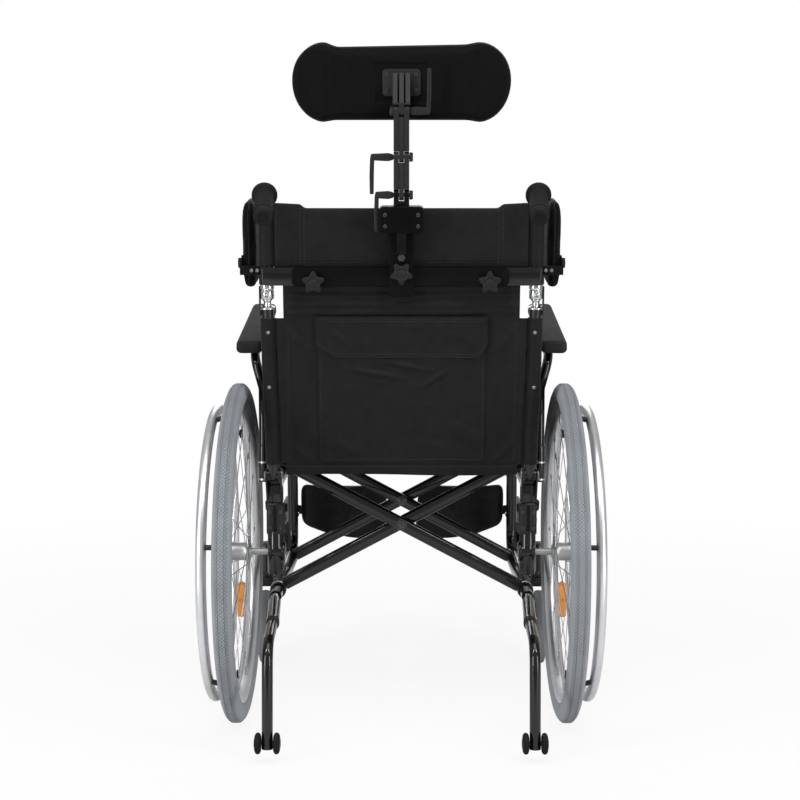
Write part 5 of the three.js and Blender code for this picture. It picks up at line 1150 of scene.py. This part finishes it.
def air(piece, push, reach):
    """Swells a closed skin as stuffed cloth and caps how far its points move."""
    alone(piece)
    start = [vertex.co.copy() for vertex in piece.data.vertices]
    cloth = piece.modifiers.new("Cloth", "CLOTH")
    settings = cloth.settings
    settings.quality = 5
    settings.mass = 0.25
    settings.tension_stiffness = settings.compression_stiffness = 12
    settings.bending_stiffness = 0.6
    settings.use_pressure = True
    settings.uniform_pressure_force = push
    settings.effector_weights.gravity = 0
    cloth.point_cache.frame_end = FRAMES
    for number in range(1, FRAMES + 1):
        bpy.context.scene.frame_set(number)
    bpy.ops.object.modifier_apply(modifier=cloth.name)
    bpy.context.scene.frame_set(1)
    most = 0
    for vertex, home in zip(piece.data.vertices, start):
        move = vertex.co - home
        most = max(most, move.length)
        if move.length > reach:
            vertex.co = home + move * (reach / move.length)
    print(piece.name, "moved", round(most * 1000, 1), "mm at most")
    return piece


def stuffed(piece, name, place, push, reach):
    """A rough form, in its place, swollen by the air in it and then made finer. Reach is in metres."""
    piece.data.transform(place)
    piece.name = name
    air(piece, push, reach)
    return finished(piece, "SUBSURF", levels=1, render_levels=1)


def bent(piece, rule):
    """Moves every point by a rule on its place."""
    for vertex in piece.data.vertices:
        vertex.co = rule(*vertex.co)
    return piece


def in_frame(piece, place, rule):
    """The same, for a piece that already stands in its place, with the rule in the drawing's frame."""
    back = place.inverted()
    for vertex in piece.data.vertices:
        vertex.co = place @ Vector(rule(*(back @ vertex.co)))
    return piece


def bell(value, middle, width):
    """A soft bump that is 1 in the middle and fades within the width."""
    return math.exp(-((value - middle) / width) ** 2)


def ease(value, a, b):
    """Rises smoothly from 0 at a to 1 at b."""
    t = min(1, max(0, (value - a) / (b - a)))
    return t * t * (3 - 2 * t)


def crumple(x, y, z, size):
    """A small seeded unevenness, the same at each run."""
    return noise.noise(Vector((x / size + 7.3, y / size - 2.1, z / size + 4.7)))


def laid_on(way, piece, place, lift):
    """Moves the points of a seam onto a piece's surface. Both are in the drawing's frame."""
    back = place.inverted()
    found = []
    for point in way:
        _, spot, normal, _ = piece.closest_point_on_mesh(place @ Vector(point))
        found.append(back @ (spot + normal * lift / 1000))
    return found


PITCH, STITCH = 3.6, 3.6 * 0.62


def stitched(ways):
    """Short threads set one after another along the given lines."""
    threads = []
    for way in ways:
        carry = 0
        for a, b in zip(way, way[1:]):
            a, b = Vector(a), Vector(b)
            gap = (b - a).length
            at = carry
            while at + STITCH < gap:
                threads.append([a.lerp(b, at / gap), a.lerp(b, (at + STITCH) / gap)])
                at += PITCH
            carry = max(0, at - gap)
    return rods(threads, 0.32, 4)


# %% Headrest pad: a pill whose ends come forward round the head
pill = wrapped(disc(70.5, 131, 690.5, 48), disc(70.5, -131, 690.5, 48))
pad = remeshed(plate(pill, -24, 24, "Y", 17, 6), 4.2)


def headrest_shape(u, w, v):
    """Where a point of the flat pill goes: its ends come forward and are shorter, and its middle hangs a little."""
    share = max(0, (abs(u) / 201 - 0.6) / 0.4)
    u = math.copysign(min(abs(u), 131 + (abs(u) - 131) * 0.8), u)
    upper, lower = max(0, (v - 690) / 70), max(0, (690 - v) / 70)
    rise = 2.6 * lower * (1 - ease(abs(u), 110, 140))
    dip = upper * (3 + (4.6 + u / 126 * 2.2) * (1 - ease(abs(u), 104, 134))) - rise
    return Vector((u, 13.4 - 25 - 34 * share ** 1.5 + w, v - dip))


stuffed(bent(pad, headrest_shape), "headrest_pad_cover", BACK, 3.5, 0.0035)


def headrest_seams(x, y, z):
    """Two upright seams in the rear face, which lies flat against the head plate."""
    rear = ease(y, -20, -8)
    y -= 2.4 * bell(abs(x), 127, 2.6) * rear
    if abs(x) < 44 and 655 < z < 722:
        y = min(y, 13.6)
    return (x, min(y, 16.5), z)


in_frame(pad, BACK, headrest_seams)
welt_outline = wrapped(disc(66, 131, 690.5, 40), disc(66, -131, 690.5, 40))
dense = []
for i, p in enumerate(welt_outline):
    q = welt_outline[(i + 1) % len(welt_outline)]
    dense += [p.lerp(q, k / 20) for k in range(20)] if (q - p).length > 30 else [p]
welt = laid_on([headrest_shape(p.x, 18, p.y) for p in dense], pad, BACK, 0.5)
settle(pad, "headrest_pad_cover", jersey, "headrest", ["headrest_pad"], place=IN_PLACE, angle=60)
settle(rods([welt], 1.5, 10, closed=True), "headrest_welt", piping, "headrest")

# %% Upper back panel: a thin padded band with a sewn seam near each end and a lower middle
band = remeshed(plate(rectangle(-223.5, 223.5, 371.5, 486, 7, 6), -5.5, 5.5, "Y", 3.5, 4), 3.6)


def panel_shape(x, y, z):
    """The band's top edge is lower between the canes."""
    dip = 6.5 * (1 - ease(abs(x), 164, 178)) * (z - 371) / 115
    return Vector((x, y, z - dip))


stuffed(bent(band, panel_shape), "upper_panel_cover", BACK, 3.0, 0.0022)


def panel_seams(x, y, z):
    """A seam near each end, a double seam along the lower edge and small creases between them."""
    push = 2.2 * bell(abs(x), 171.5, 2.4) + 1.3 * bell(z, 381, 1.8) + 0.8 * bell(z, 385, 1.2)
    y += (-1 if y > 0 else 1) * min(push, abs(y) * 0.6)
    y += 0.9 * crumple(x, 0, z * 0.6, 46) + 0.5 * crumple(x, 5, z, 17) * ease(abs(x), 120, 175)
    return (x, y, z)


in_frame(band, BACK, panel_seams)
settle(band, "upper_panel_cover", nylon, "upper_back_left", ["upper_back_panel"], place=IN_PLACE, angle=60)
lines = [laid_on([(x, 12, 381) for x in range(-205, 206, 3)], band, BACK, 0.1)]
for side in (-1, 1):
    lines += [laid_on([(side * x, 12, z) for z in range(384, 482, 3)], band, BACK, 0.1) for x in (169.5, 174)]
panel_threads = stitched(lines)
settle(panel_threads, "upper_panel_stitches", thread, "upper_back_left")
wrap = turned([(11.4, 377.4), (12.4, 377.4), (12.9, 379), (12.6, 382), (12.6, 472), (12.9, 475), (12.4, 477),
               (11.4, 477)], "Z", (CANE_X, 0, 0), 44)
wrap = joined(wrap, plate(rectangle(220.5, 223.4, 377.4, 477, 1), -2, 3, "Y", 0.8))
settle(wrap, "upper_panel_sleeve_left", nylon, "upper_back_left", angle=60)

# %% Trunk pads, with the knob that clamps each
outline = rectangle(-115, -7, 334.5, 485.5, 34, 8)
trunk = remeshed(plate(outline, 256, 275, "X", 8, 5), 3.4)
stuffed(trunk, "trunk_pad_cover", BACK, 3.0, 0.0022)


def trunk_seat(x, y, z):
    """Flat where the bracket and the knob bear on it, with a groove round its edge for the welt."""
    near = (y - KNOB_Y) ** 2 + (z - KNOB_Z) ** 2 < 16 ** 2
    x = min(x, 276.6) if near else min(x, 277.2)
    groove = 1.6 * bell(x, 266, 1.1)
    middle = Vector((y + 61, z - 410))
    if groove > 0.05 and middle.length > 40:
        middle *= 1 - groove / middle.length
    return (max(x, 253.6), middle.x - 61, middle.y + 410)


in_frame(trunk, BACK, trunk_seat)
welt = laid_on([(266, y, z) for y, z in rectangle(-116, -6, 333.5, 486.5, 34, 8)], trunk, BACK, 0.3)
settle(trunk, "trunk_pad_cover_left", jersey, "trunk_support_left", ["trunk_pad_left"], place=IN_PLACE, angle=60)
settle(rods([welt], 0.9, 8, closed=True), "trunk_pad_welt_left", piping, "trunk_support_left")
seat = peg(9, 274, 277, "X", (0, KNOB_Y, KNOB_Z), 28)
shank = peg(3.9, 276, 282, "X", (0, KNOB_Y, KNOB_Z), 18)
fluted = [Vector((KNOB_Y + (8.4 + 0.7 * math.cos(8 * a)) * math.cos(a),
                  KNOB_Z + (8.4 + 0.7 * math.cos(8 * a)) * math.sin(a)))
          for a in (2 * math.pi * k / 64 for k in range(64))]
cap = plate(fluted, 280.6, 286.4, "X", 1.2)
settle(joined(seat, shank, cap), "trunk_pad_knob_left", knob_rubber, "trunk_support_left")

# %% Calf pads: two padded wings, taller on the inside
outline = softened([(28, 250), (95, 248), (145, 254), (211, 278), (213, 361), (150, 363), (35, 363)], 16, 6)
wing = remeshed(plate(outline, -14, 14, "Y", 10, 5), 3.8)
bent(wing, lambda x, y, z: Vector((x, -448 + y - 14 * ((x - 117) / 90) ** 2, z)))
stuffed(wing, "calf_pad_cover", CHAIR, 3.5, 0.0035)


def calf_seams(x, y, z):
    """Two long folds and a crumpled rear face."""
    fold_lines = 2.6 * bell(x * 0.86 + z * 0.5, 246, 3.2) + 1.8 * bell(x - z * 0.35, 64, 3.0)
    behind = ease(y + 14 * ((x - 117) / 90) ** 2, -449, -440)
    y -= (fold_lines - 2.0 * crumple(x, 0, z, 26) - 1.0 * crumple(x, 3, z, 11)) * behind
    return (x, y, z)


in_frame(wing, CHAIR, calf_seams)
settle(wing, "calf_pad_cover_left", knit, "calf_left", ["calf_pad_left"], place=IN_PLACE, angle=60)
middle = knee + down * (135 / math.sin(LEG_LEAN))
clamp = turned([(9.85, -9), (14.4, -9), (15.4, -8), (15.4, 8), (14.4, 9), (9.85, 9)], down, middle, 36)
line = [Vector((268, -549)), Vector((252, -521)), Vector((184.5, -457))]
side_of = [Vector((-(b - a).y, (b - a).x)).normalized() * 2.5 for a, b in zip(line, line[1:])]
offset = [side_of[0], (side_of[0] + side_of[1]) / 2, side_of[1]]
arm = plate(softened([p + o for p, o in zip(line, offset)] + [p - o for p, o in reversed(list(zip(line, offset)))],
                     1), 294, 312, "Z", 0.8)
settle(joined(clamp, arm), "calf_pad_bracket_left", steel_black, "calf_left")

# %% [markdown]
# ## Cloth of the back
# The back is one sheet of coated nylon between two sleeves that slide over the canes. A pocket and its flap are
# sewn onto it. All of them are fine grids whose points are moved into the folds: the cloth hangs full between
# the canes, crumples in level folds under the bar and sags a little where the pocket opens. No simulation is
# used for these, because every fold has its place on the real back.

# %% A sheet on a grid
def sheet_of(left, right, low, high, depth, columns, rows, thick):
    """A grid between two side lines and two edges, with a depth for each point, made into cloth. An edge is a
    height, or a rule that gives one."""
    bpy.ops.mesh.primitive_grid_add(x_subdivisions=columns, y_subdivisions=rows, size=2)
    piece = alone(bpy.context.object)
    for vertex in piece.data.vertices:
        u, v = (vertex.co.x + 1) / 2, (vertex.co.y + 1) / 2
        x = left + (right - left) * u
        base, top = (line(x) if callable(line) else line for line in (low, high))
        z = base + (top - base) * v
        vertex.co = (x, depth(x, z), z)
    finished(piece, "SOLIDIFY", thickness=thick, offset=0)
    return tidy(piece)


def crease(x, z, x0, z0, x1, z1, width):
    """How close a point is to a fold that runs from one point to another."""
    a, b, p = Vector((x0, z0)), Vector((x1, z1)), Vector((x, z))
    along = b - a
    t = min(1, max(0, (p - a).dot(along) / along.length_squared))
    taper = 0.35 + 0.65 * math.sin(math.pi * min(0.97, max(0.03, t)))
    return taper * bell((p - a - along * t).length, 0, width)


def creases(x, z, table):
    """The depth that a table of folds gives: for each its height, its two ends and its width."""
    return sum(tall * crease(x, z, *line) for tall, *line in table)


LEVEL_FOLDS = ((340, 3.6, 0.6), (325, 4.4, -1.2), (309, 5.0, 1.0), (296, 3.4, -0.6))
SIDE_FOLDS = ((1, 203, 276, 158, 214, 5), (1, -203, 270, -160, 222, 5), (1, 203, 60, 156, 24, 6),
              (1, -203, 66, -158, 20, 6))
POCKET_FOLDS = ((1.9, 95, 196, -8, 178, 4.2), (1.7, 31, 209, -52, 192, 3.6), (1.6, -38, 164, -80, 192, 4.5),
                (1.2, -80, 98, -140, 66, 10), (1.0, 120, 60, 60, 40, 9), (0.9, 138, 200, 130, 90, 5),
                (0.8, -20, 60, -100, 48, 8))
FLAP_FOLDS = ((1.3, 128, 272, 92, 236, 4.5), (0.9, -80, 262, -128, 246, 5), (0.7, 30, 276, -40, 268, 4))


def back_depth(x, z):
    """How far the back's cloth stands behind the canes' middle."""
    fade = 1 - ease(abs(x), 188, 206)
    sag = 0
    for height, tall, slant in LEVEL_FOLDS:
        wave = height + slant * math.sin(x / 70) + 2.2 * crumple(x, height, 0, 90)
        sag += tall * bell(z, wave, 5.2)
    tight = 1.2 * bell(abs(x), 196, 9) * (1 - ease(z, 250, 300))
    soft = 1.5 * crumple(x, 0, z, 95) + 0.6 * crumple(x, 2, z, 31)
    side_folds = 1.3 * creases(x, z, SIDE_FOLDS)
    return 1.3 + sag * fade * 1.15 - tight + (soft * 1.5 + side_folds * 2.2) * fade


def hem_low(x):
    """The hem's lower edge, which waves a little."""
    return 1.5 + 1.1 * math.sin(x / 60)


def hem_depth(x, z):
    """The same for the hem, which lies on the back's cloth."""
    return back_depth(x, z) + 1.3 + 0.5 * bell(z, 10, 7)


def pocket_depth(x, z):
    """The same for the pocket, which is a little full and has long folds."""
    fade = min(ease(148 - abs(x), 0, 12), ease(z - 25, 0, 10))
    folds = creases(x, z, POCKET_FOLDS)
    full = 1.3 * ease(z, 30, 120) + 0.8 * bell(z, 205, 22)
    soft = 0.8 * crumple(x, 9, z, 70) + 0.45 * crumple(x, 5, z, 24)
    return 3.4 + fade * (folds * 2.8 + full * 1.5 + soft * 1.7)


def flap_low(x):
    """The flap's lower edge, with its corners cut off."""
    return 217.5 + 21 * ease(x, 112, 152) + 22 * ease(-x, 132, 152)


def flap_depth(x, z):
    """The same for the flap, whose lower edge stands free."""
    edge = min(ease(151 - abs(x), 0, 7), 1)
    folds = creases(x, z, FLAP_FOLDS)
    free = 1.5 * (1 - ease(z - flap_low(x), 0, 16)) * (0.6 + 0.4 * math.sin(x / 19 + 1))
    return 7.2 + 0.6 + edge * (folds * 1.9 + 0.9 * crumple(x, 1, z, 40)) + 1.3 * free


cloth = sheet_of(-206.5, 206.5, 2.5, 356, back_depth, 126, 120, 1.4)
settle(cloth, "back_cloth", nylon, "lower_back_left", ["back_upholstery"], angle=70)
hem = sheet_of(-206, 206, hem_low, 19, hem_depth, 90, 8, 1.1)
settle(hem, "back_hem", nylon, "lower_back_left", angle=70)
web = sheet_of(0, 1, 22.5, 285.5, lambda x, z: 1.4 + 0.25 * crumple(x, 0, z, 20), 4, 60, 1.6)
for vertex in web.data.vertices:
    x, y, z = vertex.co
    vertex.co = (205.6 + x * (10.8 + 5 * min(1, z / 250)), y + 1.2 * math.sin(math.pi * x), z)
settle(web, "sleeve_web_left", nylon, "lower_back_left", angle=70)
pocket = sheet_of(-147.5, 147.5, 25.5, 284, pocket_depth, 110, 92, 1.1)
settle(pocket, "back_pocket", nylon, "lower_back_left", angle=70)
flap = sheet_of(-150.5, 150.5, flap_low, 289, flap_depth, 100, 34, 1.1)
settle(flap, "pocket_flap", nylon, "lower_back_left", angle=70)

# %% Stitching, and a binding on the flap's free edge
def across(depth, z, lift, reach):
    """A level line of a seam that lies on a cloth."""
    return [(x, depth(x, z) + lift, z) for x in range(-reach, reach + 1, 4)]


def upward(depth, x, lift, low, high):
    """The same for an upright line."""
    return [(x, depth(x, z) + lift, z) for z in range(low, high, 4)]


lines = [across(back_depth, 16.5, 2.0, 200), across(pocket_depth, 30.5, 0.7, 142), across(flap_depth, 284.5, 0.7, 146),
         across(flap_depth, 280.5, 0.7, 146), across(back_depth, 351, 0.8, 200)]
for side in (-1, 1):
    lines += [upward(pocket_depth, side * 143, 0.7, 32, 214), upward(back_depth, side * 199, 0.8, 28, 284),
              upward(back_depth, side * 203, 0.8, 28, 284)]
edge_x = range(-148, 149, 4)
lines.append([(x, flap_depth(x, flap_low(x) + 5) + 0.7, flap_low(x) + 5) for x in edge_x])
threads = stitched(lines)
settle(threads, "back_stitches", thread, "lower_back_left")
binding = rods([[(x, flap_depth(x, flap_low(x)) + 0.1, flap_low(x)) for x in edge_x]], 1.0, 8)
settle(binding, "flap_binding", piping, "lower_back_left")

# %% Sleeves round the canes, each with two cross-head screws
def sleeve_skin():
    """A close sleeve of cloth, with small creases across it."""
    middle = lambda z: 229 + 5 * min(1, z / 250)
    skin = alone(rods([[(middle(z), 0, z) for z in range(22, 287, 3)]], 12.9, 40))
    bpy.ops.object.mode_set(mode="EDIT")
    bpy.ops.mesh.select_all(action="DESELECT")
    bpy.ops.object.mode_set(mode="OBJECT")
    for face in skin.data.polygons:
        face.select = len(face.vertices) > 4
    bpy.ops.object.mode_set(mode="EDIT")
    bpy.ops.mesh.delete(type="FACE")
    bpy.ops.object.mode_set(mode="OBJECT")
    for vertex in skin.data.vertices:
        x, y, z = vertex.co
        out = Vector((x - middle(z), y)).normalized()
        lift = 0.45 * crumple(x * 0.4, y * 0.4, z, 15) + 0.3 * crumple(x, y, z, 7)
        lift += 0.7 * (bell(z, 24, 2.2) + bell(z, 284, 2.2))
        vertex.co = (x + out.x * lift, y + out.y * lift, z)
    return finished(skin, "SOLIDIFY", thickness=0.9, offset=-1)


settle(sleeve_skin(), "cane_sleeve_left", nylon, "lower_back_left", angle=70)
dots = [turned([(0, 0), (4.6, 0), (4.4, 1), (3, 1.5), (0, 1.6)], "Y", (232.5, 12.9, z), 24) for z in (164, 262)]
heads = [screw((232.5, 14.2, z), "Y", 2.8, 1.2) for z in (164, 262)]
settle(joined(*dots), "sleeve_washers_left", plastic, "lower_back_left")
settle(joined(*heads), "sleeve_screws_left", zinc, "lower_back_left")

# %% [markdown]
# ## Seat
# The sling lies on both seat rails and hangs a little between them. It is one sheet with turned hems, and its
# edges dip a little over each rail.

# %% Seat sling
def seat_height(x, y):
    """How high the sling lies: it hangs between the rails, with creases that fade out at the rails."""
    share = max(0, 1 - (abs(x) / 217) ** 2)
    fade = min(1, share * 4)
    along = 0.8 + 0.2 * math.sin(math.pi * (y + 402) / 376)
    return 480.2 - 16 * share * along + 0.9 * crumple(x, y, 0, 70) * fade + 0.5 * crumple(x, y, 4, 24) * fade


bpy.ops.mesh.primitive_grid_add(x_subdivisions=110, y_subdivisions=90, size=2)
sling = alone(bpy.context.object)
for vertex in sling.data.vertices:
    x, y = vertex.co.x * 235, -214 + vertex.co.y * 187.5
    hem_lift = 0.8 * (bell(y, -400, 6) + bell(y, -28, 6))
    vertex.co = (x, y, seat_height(x, y) + hem_lift - 3.0 * ease(abs(x), 229, 236))
finished(sling, "SOLIDIFY", thickness=2.0, offset=1)
tidy(sling)
sling.data.transform(CHAIR)
sling.name = sling.data.name = "seat_sling_cloth"
sling.data.materials.append(canvas)
alone(sling)
bpy.ops.object.shade_smooth_by_angle(angle=math.radians(70))
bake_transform(sling)
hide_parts("seat_sling")
made.append(sling)
print(sling.name, "with", len(sling.data.polygons), "faces, blended between the two cross arms")

# %% [markdown]
# Cloth that spans both canes can't follow the fold of the frame, so it rides on the left side's body. Each of
# these sheets and seams gets a mesh of its own.

# %% Own meshes for the sheets
for piece in (band, panel_threads, cloth, hem, pocket, flap, threads, binding):
    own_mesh(piece)

# %% [markdown]
# ## Floor, light and camera
# The photograph is a cut-out on white, taken from behind at about the height of the seat back. A pale floor
# keeps a soft shadow, the world is white only to the camera and to reflections, and large soft lamps light the
# chair evenly. A strip on each side draws the long highlights on the upright tubes, and a tilted bar above each
# shoulder draws those on the crossed braces.

# %% Floor and world
bpy.ops.mesh.primitive_grid_add(x_subdivisions=4, y_subdivisions=4, size=16)
floor = alone(bpy.context.object)
floor.name = "floor"
white = bpy.data.materials.new("Pale floor")
white.use_nodes = True
tree = white.node_tree
shader = tree.nodes["Principled BSDF"]
shader.inputs["Base Color"].default_value = (0.86, 0.86, 0.86, 1)
shader.inputs["Roughness"].default_value = 0.9
path = tree.nodes.new("ShaderNodeLightPath")
glow = tree.nodes.new("ShaderNodeEmission")
blend_in = tree.nodes.new("ShaderNodeMixShader")
spot = tree.nodes.new("ShaderNodeTexCoord")
away = tree.nodes.new("ShaderNodeVectorMath")
away.operation = "LENGTH"
tree.links.new(spot.outputs["Object"], away.inputs[0])
far = maths(tree, "DIVIDE", maths(tree, "SUBTRACT", away.outputs["Value"], 0.7), 1.6, True)
faded = maths(tree, "ADD", maths(tree, "MULTIPLY", far, 0.12), 0.88)
seen = maths(tree, "MULTIPLY", path.outputs["Is Camera Ray"], faded)
tree.links.new(seen, blend_in.inputs[0])
tree.links.new(shader.outputs[0], blend_in.inputs[1])
tree.links.new(glow.outputs[0], blend_in.inputs[2])
tree.links.new(blend_in.outputs[0], tree.nodes["Material Output"].inputs["Surface"])
floor.data.materials.append(white)

world = bpy.data.worlds.new("Studio")
bpy.context.scene.world = world
world.use_nodes = True
tree = world.node_tree
sky = tree.nodes["Background"]
path = tree.nodes.new("ShaderNodeLightPath")
shown = maths(tree, "MAXIMUM", path.outputs["Is Camera Ray"],
              maths(tree, "MAXIMUM", path.outputs["Is Transmission Ray"],
                    maths(tree, "MULTIPLY", path.outputs["Is Glossy Ray"], 0.3)))
tree.links.new(maths(tree, "ADD", maths(tree, "MULTIPLY", shown, 0.75), 0.25), sky.inputs["Strength"])
sky.inputs["Color"].default_value = (1, 1, 1, 1)
print("floor and world ready")

# %% Lamps
def lamp(name, at, size, power, toward=(0, 0, 0.6), roll=0):
    """A soft rectangle of light that faces a point, rolled about its own beam."""
    bpy.ops.object.light_add(type="AREA", location=at)
    light = bpy.context.object
    light.name = name
    light.data.shape = "RECTANGLE"
    light.data.size, light.data.size_y = size
    light.data.energy = power
    facing = (Vector(toward) - Vector(at)).to_track_quat("-Z", "Y").to_matrix()
    light.rotation_euler = (facing @ Matrix.Rotation(math.radians(roll), 3, "Z")).to_euler()
    print("lamp", name, power, "W")


lamp("top", (-0.2, 1.2, 3.2), (2.0, 1.2), 24)
lamp("front", (0, -3.2, 2.0), (2.4, 1.6), 30)
for name, side, strip_power in (("left", 1, 42), ("right", -1, 34)):
    lamp(name + " bar", (side * 1.3, 1.9, 2.6), (1.4, 0.32), 24, (0, 0, 0.35), side * 43)
    lamp(name + " strip", (side * 2.3, 2.4, 0.8), (0.55, 1.8), strip_power)

# %% Camera
bpy.ops.object.camera_add(location=(-0.0071, 3.0183, 0.8343))
camera = bpy.context.object
camera.name = "camera"
camera.data.lens = 70.4
camera.data.sensor_width = 36
yaw, pitch = math.radians(-0.2053), math.radians(5.172)
ahead = Vector((-math.sin(yaw) * math.cos(pitch), -math.cos(yaw) * math.cos(pitch), -math.sin(pitch)))
camera.rotation_euler = ahead.to_track_quat("-Z", "Y").to_euler()
bpy.context.scene.camera = camera
bpy.context.scene.view_settings.view_transform = "Standard"
print("camera at", tuple(camera.location), "lens", camera.data.lens)

# %% Update the scene
bpy.context.view_layer.update()
